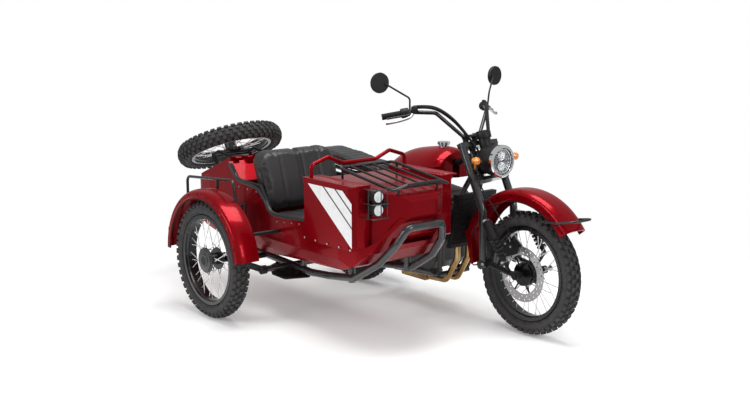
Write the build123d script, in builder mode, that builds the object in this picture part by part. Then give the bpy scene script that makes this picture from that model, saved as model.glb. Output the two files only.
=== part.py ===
from build123d import *
from math import cos, radians, sin, tan
import os

os.makedirs("parts", exist_ok=True)

# A motorcycle with a passenger sidecar on its right. +X forward, +Y left, +Z up, floor at zero.

# Driving sizes, in millimetres
wheel_base = 1470
track = 1150
side_lead = 150
car_offset = 605
tyre_radius = 330
tyre_width = 98
rim_radius = 252
rim_width = 76
rim_wall = 6
seat_height = 800
bar_half = 402
tail_overhang = 480
hull_length = 1800
hull_height = 850
hull_half = 305
wall = 12
gap = 0.3
sliver_share = 0.03
overrun = 40

# Places that the driving sizes give
rear_share, middle_share = -0.3367, 0.3174
rear_axle_x = wheel_base * rear_share
front_axle_x = rear_axle_x + wheel_base
bike_y = track * middle_share
side_y = bike_y - track
side_axle_x = rear_axle_x + side_lead
car_y = bike_y - car_offset
hull_tail_x = rear_axle_x - tail_overhang
front_axle = Vector(front_axle_x, bike_y, tyre_radius)
rear_axle = Vector(rear_axle_x, bike_y, tyre_radius)
side_axle = Vector(side_axle_x, side_y, tyre_radius)
bike_plane = Plane(origin=(0, bike_y, 0), x_dir=(1, 0, 0), z_dir=(0, -1, 0))
car_plane = Plane(origin=(0, car_y, 0), x_dir=(1, 0, 0), z_dir=(0, -1, 0))

# Steering axis: leaning back by the rake, meeting the floor ahead of the axle by the trail
rake = 27
trail = 26


def head(height):
    """The place on the steering axis at a height."""
    return Vector(front_axle_x + trail - height * tan(radians(rake)), bike_y, height)


steer_down = Vector(sin(radians(rake)), 0, -cos(radians(rake)))


def on_bike(x_share, side, z_share):
    """A place on the motorcycle: wheelbases from the rear axle, a side distance, seat heights."""
    return Vector(rear_axle_x + x_share * wheel_base, bike_y + side, z_share * seat_height)


def on_fork(x_share, side, z_share):
    """A place on what steers: tyre radii ahead of the front axle, a side distance, tyre radii up."""
    return Vector(front_axle_x + x_share * tyre_radius, bike_y + side, z_share * tyre_radius)


def on_car(x_share, side_share, z_share):
    """A place on the sidecar: hull lengths from its tail, hull half-widths to the left, hull heights."""
    return Vector(
        hull_tail_x + x_share * hull_length,
        car_y + side_share * hull_half,
        z_share * hull_height,
    )


def flat(places):
    """The same places in a side view."""
    return [(place.X, place.Z) for place in places]


def rod(start, end, radius):
    """Adds a straight round rod."""
    run = Vector(end) - Vector(start)
    with BuildSketch(Plane(origin=start, z_dir=run)) as section:
        Circle(radius)
    extrude(section.sketch, amount=run.length)


def tube(places, radius, bend):
    """Adds a round tube along straight runs with rounded corners."""
    with BuildLine() as route:
        FilletPolyline(*places, radius=bend)
    with BuildSketch(Plane(origin=route.line @ 0, z_dir=route.line % 0)) as section:
        Circle(radius)
    sweep(section.sketch, path=route.line)


def slab(outline, plane, half, corner=0, mode=Mode.ADD):
    """Adds an outline thickened to both sides of its plane, its corners rounded if asked."""
    with BuildSketch(plane) as view:
        with BuildLine():
            Polyline(*outline, close=True)
        make_face()
        if corner:
            fillet(view.vertices(), corner)
    extrude(view.sketch, amount=half, both=True, mode=mode)


def turned(profile, centre, mode=Mode.ADD):
    """Adds a ring about an axle: the profile's columns are radius and place along the axle."""
    with BuildSketch(Plane(origin=centre)) as section:
        with BuildLine():
            Polyline(*profile, close=True)
        make_face()
    revolve(section.sketch, axis=Axis(centre, (0, 1, 0)), mode=mode)


def arched(profile, centre, start, arc):
    """Adds a profile swept about an axle from a start angle above +X, over an arc in degrees."""
    out = Vector(cos(radians(start)), 0, sin(radians(start)))
    along = Vector(-sin(radians(start)), 0, cos(radians(start)))
    with BuildSketch(Plane(origin=centre, x_dir=out, z_dir=along)) as section:
        with BuildLine():
            Polyline(*profile, close=True)
        make_face()
    revolve(section.sketch, axis=Axis(centre, (0, -1, 0)), revolution_arc=arc)


def save(piece, name):
    """Labels a piece and writes it as a STEP file, without the bits that its neighbours cut off."""
    solids = sorted(piece.part.solids(), key=lambda solid: -solid.volume)
    kept = [solid for solid in solids if solid.volume > solids[0].volume * sliver_share]
    whole = kept[0] if len(kept) == 1 else Compound(children=kept)
    whole.label = name
    export_step(whole, f"parts/{name}.step")



# Wheels: tyre, rim and laced hub, the same on all four
tyre_bead = rim_wall * 2
# The columns are the share of the half width and the share of the height from rim flange to tread
tyre_shares = ((0.66, 0.02), (0.9, 0.2), (1, 0.48), (0.95, 0.72), (0.78, 0.92), (0.42, 0.985))
spoke_count = 32
spoke_radius = 2.6
hub_radius = 34
hub_half = 38
flange_radius = 62
flange_half = 3
axle_radius = 10
axle_gap = 0.3
spoke_lean = 28
spoke_gap = 0.8


def make_tyre(centre):
    """Adds a tyre."""
    half = tyre_width / 2
    depth = tyre_radius - rim_radius
    bead_half = rim_width / 2 - rim_wall - gap
    right = [(rim_radius + gap + high * depth, -side * half) for side, high in tyre_shares]
    left = [(r, -y) for r, y in reversed(right)]
    bead = rim_radius - tyre_bead + gap
    profile = [(bead, -bead_half), (rim_radius + gap, -bead_half), *right, (tyre_radius, 0)]
    turned([*profile, *left, (rim_radius + gap, bead_half), (bead, bead_half)], centre)


def make_rim(centre):
    """Adds a drop-centre rim."""
    half = rim_width / 2
    seat = rim_radius - tyre_bead
    well = seat - rim_wall
    ledge = half - rim_wall * 2
    outer = [(rim_radius, half), (rim_radius, half - rim_wall), (seat, half - rim_wall)]
    outer += [(seat, ledge), (well, ledge - rim_wall)]
    inner = [(well - rim_wall, ledge - rim_wall), (seat - rim_wall, ledge), (seat - rim_wall, half)]
    right = [(r, -y) for r, y in outer]
    under = [(r, -y) for r, y in inner]
    turned([*outer, *reversed(right), *reversed(under), *inner], centre)


rim_inside = rim_radius - tyre_bead - rim_wall * 2

with BuildPart() as hub_form:
    turned(
        [(axle_radius + axle_gap, -hub_half), (hub_radius, -hub_half), (hub_radius, hub_half),
         (axle_radius + axle_gap, hub_half)],
        Vector(0, 0, 0),
    )
    for side in (-1, 1):
        flange_y = side * (hub_half - flange_half)
        turned(
            [(hub_radius - flange_half, flange_y - flange_half),
             (flange_radius, flange_y - flange_half),
             (flange_radius, flange_y + flange_half),
             (hub_radius - flange_half, flange_y + flange_half)],
            Vector(0, 0, 0),
        )
    for turn in range(spoke_count):
        angle = radians(360 / spoke_count * turn)
        side = 1 if turn % 2 else -1
        lean = radians(spoke_lean if turn % 4 < 2 else -spoke_lean)
        foot = flange_radius - flange_half
        start = Vector(foot * cos(angle + lean), side * (hub_half - flange_half),
                       foot * sin(angle + lean))
        end = Vector((rim_inside - spoke_gap) * cos(angle), side * flange_half,
                     (rim_inside - spoke_gap) * sin(angle))
        run = end - start
        with BuildSketch(Plane(origin=start, z_dir=run)) as spoke:
            RegularPolygon(spoke_radius, 4)
        extrude(spoke.sketch, amount=run.length)

wheels = {"front": front_axle, "rear": rear_axle, "side": side_axle}
for wheel, centre in wheels.items():
    with BuildPart() as tyre:
        make_tyre(centre)
    save(tyre, wheel + "_tyre")
    with BuildPart() as rim:
        make_rim(centre)
    save(rim, wheel + "_rim")

# Brake discs and the rear sprocket
disc_radius = 148
disc_inner = 104
disc_half = 2.2
disc_y = 56
disc_holes = 24
disc_hole = 5
sprocket_radius = 88
sprocket_y = 64
sprocket_half = 3
arm_count = 6


with BuildPart() as disc_form:
    middle = Vector(0, -disc_y, 0)
    turned([(disc_inner, -disc_half), (disc_radius, -disc_half), (disc_radius, disc_half),
            (disc_inner, disc_half)], middle)
    inside = disc_y - hub_half
    turned([(axle_radius + axle_gap, -disc_half), (flange_radius, -disc_half),
            (flange_radius, disc_half), (axle_radius + axle_gap, disc_half)], middle)
    for arm in range(arm_count):
        angle = radians(360 / arm_count * arm)
        out = Vector(cos(angle), 0, sin(angle))
        rod(middle + out * (flange_radius - disc_half), middle + out * (disc_inner + disc_half),
            disc_half * 2)
    turned([(axle_radius + axle_gap, 0), (hub_radius, 0), (hub_radius, inside),
            (axle_radius + axle_gap, inside)], middle)
    for row_share in (0.3, 0.7):
        reach = disc_inner + (disc_radius - disc_inner) * row_share
        turn = 180 / disc_holes * (row_share > 0.5)
        with Locations(Plane(origin=middle, x_dir=(1, 0, 0), z_dir=(0, -1, 0))):
            with PolarLocations(reach, disc_holes, start_angle=turn):
                Hole(disc_hole, depth=overrun)


with BuildPart() as front_disc:
    with Locations(Location(front_axle)):
        add(disc_form.part)
save(front_disc, "front_disc")

for wheel, centre in wheels.items():
    with BuildPart() as hub:
        with Locations(Location(centre)):
            add(hub_form.part)
            if wheel == "rear":
                add(disc_form.part)
        if wheel == "rear":
            middle = centre + Vector(0, sprocket_y, 0)
            with BuildSketch(Plane(origin=middle, x_dir=(1, 0, 0), z_dir=(0, -1, 0))):
                Circle(sprocket_radius)
                with PolarLocations(sprocket_radius * 0.62, arm_count):
                    Circle(sprocket_radius * 0.2, mode=Mode.SUBTRACT)
                Circle(axle_radius + axle_gap, mode=Mode.SUBTRACT)
            extrude(amount=sprocket_half, both=True)
            turned([(axle_radius + axle_gap, 0), (hub_radius, 0), (hub_radius, hub_half - sprocket_y),
                    (axle_radius + axle_gap, hub_half - sprocket_y)], middle)
    save(hub, wheel + "_hub")

# Leading-link front fork
fork_half = 118
fork_radius = 21
stem_radius = 17
yoke_half = 13
link_half = 104
link_radius = 15
shock_half = 152
fork_top, fork_knee = on_fork(-1.339, 0, 3.148), on_fork(-0.74, 0, 1.97)
fork_foot = on_fork(-0.697, 0, 1.06)
link_pivot = on_fork(-0.63, 0, 1.09)
yoke_top, yoke_low = 1005, 775
head_radius = 31
head_low, head_high = 800, 975


def aside(place, side):
    """A place moved sideways."""
    return place + Vector(0, side, 0)


with BuildPart() as fork:
    for side in (-1, 1):
        tube([aside(fork_top, side * fork_half), aside(fork_knee, side * fork_half),
              aside(fork_foot, side * fork_half)], fork_radius, fork_half)
        rod(aside(fork_foot, side * (link_half + link_radius + gap)),
            aside(fork_foot, side * (fork_half + fork_radius * 1.2)), fork_radius * 1.15)
        rod(aside(on_fork(-0.7, 0, 1.86), side * fork_half),
            aside(on_fork(-0.53, 0, 1.83), side * shock_half), fork_radius / 2)
    for height in (yoke_top, yoke_low):
        middle = head(height)
        forward = Vector(cos(radians(rake)), 0, sin(radians(rake)))
        reach = (fork_top.X - head(fork_top.Z).X) * cos(radians(rake))
        with BuildSketch(Plane(origin=middle, x_dir=forward, z_dir=-steer_down)):
            with BuildLine():
                Polyline(
                    (-head_radius * 0.5, -head_radius * 0.75), (-head_radius * 0.5, head_radius * 0.75),
                    (reach - fork_radius, fork_half + fork_radius),
                    (reach + fork_radius, fork_half + fork_radius),
                    (reach + fork_radius, -fork_half - fork_radius),
                    (reach - fork_radius, -fork_half - fork_radius), close=True)
            make_face()
            fillet(vertices(), fork_radius * 0.6)
        extrude(amount=yoke_half, both=True)
    rod(head(yoke_low), head(yoke_top), stem_radius)
save(fork, "fork")

# Leading links, with the axle between their front ends
with BuildPart() as links:
    for side in (-1, 1):
        pivot = aside(link_pivot, side * link_half)
        eye = aside(front_axle, side * link_half)
        rod(pivot, eye, link_radius)
        for place in (pivot, eye):
            rod(aside(place, -link_radius * 1.1), aside(place, link_radius * 1.1), link_radius * 1.45)
        rod(aside(on_fork(-0.15, 0, 1.05), side * link_half),
            aside(on_fork(-0.13, 0, 1.22), side * shock_half), link_radius * 0.6)
    rod(aside(front_axle, -link_half), aside(front_axle, link_half), axle_radius)
    for side in (-1, 1):
        rod(aside(front_axle, side * link_half), aside(front_axle, side * (hub_half * 3.3)),
            axle_radius * 1.5)
    add(fork.part, mode=Mode.SUBTRACT)
save(links, "leading_links")


def make_shock(low, high, body, spring, cover_share, coils):
    """Adds a damper with its spring: a rod, ribbed coils and a cover over its upper end."""
    run = high - low
    rod(low, high, body)
    cover = low + run * (1 - cover_share)
    rod(cover, high, spring * 1.08)
    pitch = run * ((1 - cover_share) * 0.86 / coils)
    for coil in range(coils):
        foot = low + run * 0.14 + pitch * coil
        rod(foot, foot + pitch * 0.5, spring)


shock_body, shock_spring = 12, 25
with BuildPart() as front_shocks:
    for side in (-1, 1):
        make_shock(aside(on_fork(-0.12, 0, 1.24), side * shock_half),
                   aside(on_fork(-0.53, 0, 1.80), side * shock_half),
                   shock_body, shock_spring, 0.42, 5)
    add(fork.part, mode=Mode.SUBTRACT)
    add(links.part, mode=Mode.SUBTRACT)
save(front_shocks, "front_shocks")

# Front brake calliper on its arm, over the disc on the right
calliper_half = 16
with BuildPart() as calliper:
    arm_y = -(disc_y + calliper_half)
    rod(aside(on_fork(-0.5, 0, 1.04), arm_y), aside(on_fork(-0.28, 0, 1.52), arm_y), calliper_half / 2)
    slab(flat([on_fork(-0.46, 0, 1.42), on_fork(-0.2, 0, 1.52), on_fork(-0.08, 0, 1.43),
               on_fork(-0.16, 0, 1.3), on_fork(-0.36, 0, 1.22)]),
         Plane(origin=(0, bike_y - disc_y, 0), x_dir=(1, 0, 0), z_dir=(0, -1, 0)),
         calliper_half * 1.6, calliper_half / 2)
    turned([(disc_inner - disc_hole, -calliper_half / 2), (disc_radius + disc_hole, -calliper_half / 2),
            (disc_radius + disc_hole, calliper_half / 2), (disc_inner - disc_hole, calliper_half / 2)],
           aside(front_axle, -disc_y), mode=Mode.SUBTRACT)
    add(links.part, mode=Mode.SUBTRACT)
save(calliper, "brake_calliper")

# Front fender: a deep arched section that ends in a straight flap behind the wheel
fender_half = 76
fender_wall = 4
fender_lip = 62
fender_centre = on_fork(-0.075, 0, 1.07)
fender_radius = 425


def fender_section(radius, half, skin, lip):
    """The section of a fender: a crowned top with turned-down sides."""
    outer = [(radius - lip, half), (radius - lip * 0.35, half), (radius - lip * 0.08, half * 0.62),
             (radius, 0)]
    inner = [(radius - lip, half - skin), (radius - lip * 0.35 - skin, half - skin),
             (radius - lip * 0.08 - skin, half * 0.62 - skin), (radius - skin, 0)]
    return [*outer, *[(r, -y) for r, y in reversed(outer[:-1])],
            *[(r, -y) for r, y in inner[:-1]], *reversed(inner)]


with BuildPart() as front_fender:
    section = fender_section(fender_radius, fender_half, fender_wall, fender_lip)
    fender_start, fender_arc = 37, 122
    arched(section, fender_centre, fender_start, fender_arc)
    end = radians(fender_start + fender_arc)
    rim_edge = fender_centre + Vector(cos(end), 0, sin(end)) * fender_radius
    inner_edge = fender_centre + Vector(cos(end), 0, sin(end)) * (fender_radius - fender_lip)
    flap_foot = on_fork(-1.133, 0, 0.98)
    flap_inner = flap_foot + (inner_edge - rim_edge) * 0.35
    skin_in = (inner_edge - rim_edge) * (fender_wall / fender_lip)
    slab(flat([rim_edge, flap_foot, flap_foot + skin_in, rim_edge + skin_in]), bike_plane, fender_half)
    for side in (-1, 1):
        cheek = Plane(origin=(0, bike_y + side * (fender_half - fender_wall / 2), 0),
                      x_dir=(1, 0, 0), z_dir=(0, -1, 0))
        slab(flat([rim_edge, flap_foot, flap_inner, inner_edge]), cheek, fender_wall / 2)
        rod(aside(fender_centre + Vector(0, 0, fender_radius - fender_lip * 0.6),
                  side * (fender_half - fender_wall)),
            aside(on_fork(-0.72, 0, 2.02), side * (fork_half - fork_radius)), fender_wall)
        rod(aside(flap_inner, side * (fender_half - fender_wall)),
            aside(fork_foot, side * (fork_half - fork_radius)), fender_wall)
    add(fork.part, mode=Mode.SUBTRACT)
save(front_fender, "front_fender")

loop_radius = 6.5
with BuildPart() as fender_loop:
    side = fender_half + loop_radius + gap
    tube([on_fork(0.41, -side, 1.945), on_fork(0.75, -side, 1.96), on_fork(1.07, -side * 0.8, 2.02),
          on_fork(1.07, side * 0.8, 2.02), on_fork(0.75, side, 1.96), on_fork(0.41, side, 1.945)],
         loop_radius, fender_half * 0.5)
    add(front_fender.part, mode=Mode.SUBTRACT)
save(fender_loop, "fender_loop")

# Handlebar, with its clamps, switch blocks and levers, and rubber grips
bar_radius = 11
grip_radius = 17
grip_end = on_fork(-2.26, bar_half, 3.388)
bar_hand = on_fork(-1.99, bar_half * 0.694, 3.47)
bar_rise = on_fork(-1.636, bar_half * 0.488, 3.47)
bar_foot = on_fork(-1.43, bar_half * 0.147, 3.13)


def mirrored(place):
    """The same place on the motorcycle's other side."""
    return Vector(place.X, 2 * bike_y - place.Y, place.Z)


with BuildPart() as handlebar:
    tube([mirrored(grip_end), mirrored(bar_hand), mirrored(bar_rise), mirrored(bar_foot), bar_foot,
          bar_rise, bar_hand, grip_end], bar_radius, bar_radius * 3)
    for side in (-1, 1):
        clamp = on_fork(-1.43, side * stem_radius * 2, 3.13)
        rod(clamp, head(yoke_top + yoke_half) + Vector(0, side * stem_radius * 2, 0), bar_radius * 1.6)
        hand = bar_hand if side > 0 else mirrored(bar_hand)
        tip = grip_end if side > 0 else mirrored(grip_end)
        along = (tip - hand).normalized()
        rod(hand + along * bar_radius, hand + along * bar_radius * 4, bar_radius * 2)
        forward = Vector(bar_radius * 4.2, 0, -bar_radius * 0.6)
        lever_foot = hand + along * bar_radius * 2 + forward
        rod(hand + along * bar_radius * 2, lever_foot, bar_radius)
        rod(lever_foot, tip + forward * 0.9, bar_radius * 0.5)
    add(fork.part, mode=Mode.SUBTRACT)
    for side in (-1, 1):
        hand = bar_hand if side > 0 else mirrored(bar_hand)
        tip = grip_end if side > 0 else mirrored(grip_end)
        along = (tip - hand).normalized()
        with BuildSketch(Plane(origin=hand + along * bar_radius * 4.05, z_dir=along)) as sleeve:
            Circle(grip_radius * 1.2)
            Circle(bar_radius, mode=Mode.SUBTRACT)
        extrude(sleeve.sketch, amount=(tip - hand).length, mode=Mode.SUBTRACT)
save(handlebar, "handlebar")

with BuildPart() as grips:
    for side in (-1, 1):
        hand = bar_hand if side > 0 else mirrored(bar_hand)
        tip = grip_end if side > 0 else mirrored(grip_end)
        along = (tip - hand).normalized()
        with BuildSketch(Plane(origin=hand + along * bar_radius * 4.2, z_dir=along)) as sleeve:
            Circle(grip_radius)
            Circle(bar_radius + gap, mode=Mode.SUBTRACT)
        extrude(sleeve.sketch, amount=(tip - hand).length - bar_radius * 4.2)
save(grips, "grips")

mirror_radius = 56
mirror_half = 9
mirror_stem = 5
with BuildPart() as mirrors:
    for side in (-1, 1):
        foot = on_fork(-1.93, side * bar_half * 0.735, 3.5)
        knee = on_fork(-1.915, side * bar_half * 0.745, 3.706)
        face = on_fork(-2.16, side * bar_half * 1.02, 3.95)
        centre = on_fork(-2.197, side * bar_half * 1.08, 3.96)
        tube([foot, knee, face], mirror_stem, mirror_stem * 5)
        facing = Vector(-1, -side * 0.12, 0)
        with BuildSketch(Plane(origin=centre, z_dir=facing)) as plate:
            Circle(mirror_radius)
        extrude(plate.sketch, amount=mirror_half, both=True, taper=12)
    add(handlebar.part, mode=Mode.SUBTRACT)
save(mirrors, "mirrors")

# Headlamp: shell, chrome ring and lens, with the instrument above
lamp_radius = 88
lamp_depth = 120
ring_depth = 22
lamp_centre = on_fork(-0.679, 0, 2.724)


def turned_forward(profile, centre):
    """Adds a form turned about a fore-and-aft axis: columns are place forward and radius."""
    with BuildSketch(Plane(origin=centre, x_dir=(1, 0, 0), z_dir=(0, -1, 0))) as section:
        with BuildLine():
            Polyline(*profile, close=True)
        make_face()
    revolve(section.sketch, axis=Axis(centre, (1, 0, 0)))


with BuildPart() as headlamp_shell:
    turned_forward([(-lamp_depth, 0), (-lamp_depth, lamp_radius * 0.35),
                    (-lamp_depth * 0.8, lamp_radius * 0.7),
                    (-lamp_depth * 0.45, lamp_radius * 0.92), (-ring_depth / 2, lamp_radius * 0.95),
                    (-ring_depth / 2, 0)], lamp_centre)
    for side in (-1, 1):
        rod(aside(lamp_centre - Vector(lamp_depth * 0.4, 0, 0), side * lamp_radius * 0.85),
            on_fork(-1.07, side * fork_half, 2.64), mirror_stem * 2)
    add(fork.part, mode=Mode.SUBTRACT)
save(headlamp_shell, "headlamp_shell")

with BuildPart() as headlamp_ring:
    turned_forward([(-ring_depth / 2 + gap, lamp_radius * 0.82), (-ring_depth / 2 + gap, lamp_radius),
                    (ring_depth * 0.3, lamp_radius), (ring_depth / 2, lamp_radius * 0.93),
                    (ring_depth / 2, lamp_radius * 0.82)], lamp_centre)
save(headlamp_ring, "headlamp_ring")

with BuildPart() as headlamp_lens:
    turned_forward([(-ring_depth / 2 + gap, 0), (-ring_depth / 2 + gap, lamp_radius * 0.82 - gap),
                    (ring_depth * 0.2, lamp_radius * 0.82 - gap), (ring_depth * 0.5, lamp_radius * 0.5),
                    (ring_depth * 0.6, 0)], lamp_centre)
save(headlamp_lens, "headlamp_lens")

dial_radius = 46
dial_depth = 52
with BuildPart() as instrument:
    base = on_fork(-1.03, 0, 2.99)
    facing = Vector(-0.5, 0, 0.87)
    with BuildSketch(Plane(origin=base, z_dir=facing)) as can:
        Circle(dial_radius * 0.8)
    extrude(can.sketch, amount=dial_depth, taper=-8)
    rod(on_fork(-1.26, 0, 3.13), base + facing * dial_radius * 0.5, stem_radius * 0.7)
    add(headlamp_shell.part, mode=Mode.SUBTRACT)
    add(fork.part, mode=Mode.SUBTRACT)
    add(handlebar.part, mode=Mode.SUBTRACT)
save(instrument, "instrument")

signal_radius = 21
indicator_side = 145
with BuildPart() as indicators:
    for side in (-1, 1):
        centre = on_fork(-0.82, side * indicator_side, 2.755)
        turned_forward([(-signal_radius, 0), (-signal_radius, signal_radius * 0.7), (0, signal_radius),
                        (signal_radius * 0.6, signal_radius * 0.9), (signal_radius, 0)], centre)
        rod(centre - Vector(signal_radius * 0.5, 0, 0), on_fork(-1.0, side * (fork_half - fork_radius), 2.58),
            mirror_stem)
    add(fork.part, mode=Mode.SUBTRACT)
    add(headlamp_shell.part, mode=Mode.SUBTRACT)
save(indicators, "indicators")

# Motorcycle frame: steering head, backbone, cradle and seat rails
frame_tube = 15
spine_tube = 20
cradle_half = 112
rail_half = 84
cradle_share = 0.275
arm_pivot = on_bike(0.25, 0, 0.45)
shock_top, shock_foot = on_bike(0.02, 0, 0.865), on_bike(-0.035, 0, 0.47)
rear_shock_half = 138


def pair(x_share, half, z_share):
    """Two places on the motorcycle, right and left."""
    return on_bike(x_share, -half, z_share), on_bike(x_share, half, z_share)


with BuildPart() as frame:
    rod(head(head_high), head(head_low), head_radius)
    neck = head((head_low + head_high) / 2 + spine_tube)
    tube([neck, on_bike(0.56, 0, 1.02), on_bike(0.21, 0, 0.9), on_bike(0.15, 0, 0.8)],
         spine_tube, spine_tube * 3)
    for side in (-1, 1):
        half = side * cradle_half
        tube([head(head_low + head_radius) + Vector(0, side * spine_tube * 1.6, 0),
              on_bike(0.62, half, 0.62), on_bike(0.6, half, cradle_share),
              on_bike(0.27, half, cradle_share), on_bike(0.25, half, 0.5),
              on_bike(0.15, side * rail_half, 0.8)],
             frame_tube, frame_tube * 3)
        tube([on_bike(0.2, side * rail_half, 0.865), on_bike(0.0, side * rail_half, 0.88),
              on_bike(-0.22, side * rail_half, 0.915)], frame_tube * 0.8, frame_tube * 5)
        rod(on_bike(0.15, side * rail_half, 0.8), on_bike(0.17, side * rail_half, 0.867), frame_tube * 0.8)
        rod(on_bike(0.21, side * cradle_half * 0.9, 0.62), on_bike(-0.03, side * rail_half, 0.884),
            frame_tube * 0.8)
        rod(aside(shock_top, side * rail_half), aside(shock_top, side * (rear_shock_half + frame_tube)),
            frame_tube * 0.6)
    for x_share, half, z_share in ((0.6, cradle_half, cradle_share), (0.26, cradle_half, cradle_share),
                                   (0.15, rail_half, 0.8), (0.25, cradle_half, 0.45)):
        rod(*pair(x_share, half, z_share), frame_tube)
    for x_share, z_share in ((-0.2, 0.912), (0.2, 0.865)):
        rod(*pair(x_share, rail_half, z_share), frame_tube * 0.8)
    with BuildSketch(Plane(origin=head(head_high + overrun), z_dir=steer_down)) as bore:
        Circle(stem_radius + gap)
    extrude(bore.sketch, amount=(head_high - head_low) * 2, mode=Mode.SUBTRACT)
save(frame, "frame")

# Engine: crankcase with round side covers, and two upright cylinders leaning forward
case_half = 116
block_half = 96
cover_radius = 92
chain_y = sprocket_y
front_sprocket = on_bike(0.318, chain_y, 0.46)
front_sprocket_radius = 38
fin_count = 5
with BuildPart() as engine:
    slab(flat([on_bike(0.29, 0, 0.4), on_bike(0.31, 0, 0.2943), on_bike(0.55, 0, 0.2943),
               on_bike(0.582, 0, 0.36), on_bike(0.582, 0, 0.5), on_bike(0.5, 0, 0.56),
               on_bike(0.33, 0, 0.55), on_bike(0.29, 0, 0.5)]), bike_plane, case_half, frame_tube)
    slab(flat([on_bike(0.4, 0, 0.53), on_bike(0.555, 0, 0.51), on_bike(0.6, 0, 0.745),
               on_bike(0.44, 0, 0.785)]), bike_plane, block_half)
    slab(flat([on_bike(0.432, 0, 0.785), on_bike(0.608, 0, 0.74), on_bike(0.618, 0, 0.82),
               on_bike(0.59, 0, 0.86), on_bike(0.455, 0, 0.885)]), bike_plane, block_half * 1.06,
         frame_tube * 0.6)
    foot, top = on_bike(0.4775, 0, 0.53), on_bike(0.52, 0, 0.765)
    lift = (top - foot).normalized()
    for fin in range(fin_count):
        place = foot + (top - foot) * ((fin + 0.7) / (fin_count + 0.4))
        with BuildSketch(Plane(origin=place, x_dir=(lift.Z, 0, -lift.X), z_dir=lift)) as rib:
            RectangleRounded((on_bike(0.163, 0, 0) - on_bike(0, 0, 0)).length, block_half * 2.08,
                             frame_tube * 0.6)
        extrude(rib.sketch, amount=frame_tube * 0.15, both=True)
    for side, x_share, radius in ((-1, 0.37, cover_radius), (-1, 0.52, cover_radius * 0.62),
                                  (1, 0.51, cover_radius * 0.72)):
        with BuildSketch(Plane(origin=on_bike(x_share, side * case_half, 0.425),
                               x_dir=(1, 0, 0), z_dir=(0, side, 0))) as cover:
            Circle(radius)
        extrude(cover.sketch, amount=frame_tube * 1.4, taper=12)
    pocket = front_sprocket_radius * 1.4
    with BuildSketch(Plane(origin=on_bike(0.318, chain_y - pocket * 0.25, 0.46),
                           x_dir=(-1, 0, 0), z_dir=(0, 1, 0))) as recess:
        Circle(pocket)
        with Locations((pocket, 0)):
            Rectangle(pocket * 2, pocket * 2)
    extrude(recess.sketch, amount=case_half, mode=Mode.SUBTRACT)
    rod(on_bike(0.318, chain_y - pocket * 0.4, 0.46), front_sprocket, axle_radius)
    add(frame.part, mode=Mode.SUBTRACT)
save(engine, "engine")

# Radiator with its fan cowl, and the two header pipes below it
radiator_half = 145
with BuildPart() as radiator:
    slab(flat([on_bike(0.668, 0, 0.5), on_bike(0.686, 0, 0.5), on_bike(0.722, 0, 0.88),
               on_bike(0.704, 0, 0.88)]), bike_plane, radiator_half)
    for z_share in (0.5, 0.85):
        ahead = 0.668 + (z_share - 0.5) * 0.0947
        slab(flat([on_bike(ahead - 0.002, 0, z_share), on_bike(ahead + 0.021, 0, z_share),
                   on_bike(ahead + 0.0238, 0, z_share + 0.03), on_bike(ahead + 0.0008, 0, z_share + 0.03)]),
             bike_plane, radiator_half * 1.02)
    for side in (-1, 1):
        rod(on_bike(0.7, side * cradle_half * 0.62, 0.8), on_bike(0.668, side * cradle_half * 0.62, 0.8),
            frame_tube * 0.5)
    add(frame.part, mode=Mode.SUBTRACT)
save(radiator, "radiator")

pipe_radius = 18
pipe_half = 42
box_half = 66
muffler_side = 176
with BuildPart() as exhaust:
    for side in (-1, 1):
        half = side * pipe_half
        tube([on_bike(0.6, half, 0.782), on_bike(0.65, half, 0.77), on_bike(0.65, half, 0.4),
              on_bike(0.59, half, 0.22), on_bike(0.48, half, 0.21)], pipe_radius, pipe_radius * 2.4)
    slab(flat([on_bike(0.49, 0, 0.18), on_bike(0.49, 0, 0.245), on_bike(0.34, 0, 0.245),
               on_bike(0.34, 0, 0.18)]), bike_plane, box_half, pipe_radius * 0.6)
    tube([on_bike(0.36, box_half * 0.6, 0.21), on_bike(0.27, box_half * 0.6, 0.215),
          on_bike(0.21, muffler_side, 0.255),
          on_bike(0.165, muffler_side, 0.278)], pipe_radius, pipe_radius * 2)
    add(engine.part, mode=Mode.SUBTRACT)
    add(frame.part, mode=Mode.SUBTRACT)
save(exhaust, "exhaust_pipes")

muffler_radius = 47
with BuildPart() as muffler:
    start, end = on_bike(0.17, muffler_side, 0.276), on_bike(-0.16, muffler_side, 0.392)
    run = end - start
    with BuildSketch(Plane(origin=start, z_dir=run)) as small:
        Circle(pipe_radius * 1.3)
    with BuildSketch(Plane(origin=start + run * 0.18, z_dir=run)) as large:
        Circle(muffler_radius)
    loft([small.sketch, large.sketch])
    rod(start + run * 0.18, start + run * 0.94, muffler_radius)
    with BuildSketch(Plane(origin=start + run * 0.94, z_dir=run)) as rear_end:
        Circle(muffler_radius)
    extrude(rear_end.sketch, amount=run.length * 0.06, taper=30)
    rod(start + run * 0.98, start + run * 1.03, pipe_radius)
    with BuildSketch(Plane(origin=start + run * 0.9, z_dir=run)) as outlet:
        Circle(pipe_radius * 0.8)
    extrude(outlet.sketch, amount=run.length * 0.2, mode=Mode.SUBTRACT)
    tube([start + run * 0.55 + Vector(0, 0, muffler_radius * 0.6),
          start + run * 0.55 + Vector(0, 0, muffler_radius * 2.2),
          on_bike(0.0, rear_shock_half + frame_tube * 2.4, 0.86),
          on_bike(0.02, rear_shock_half + frame_tube * 0.4, 0.865)],
         frame_tube * 0.4, frame_tube * 0.8)
    add(exhaust.part, mode=Mode.SUBTRACT)
    add(frame.part, mode=Mode.SUBTRACT)
save(muffler, "muffler")

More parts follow.
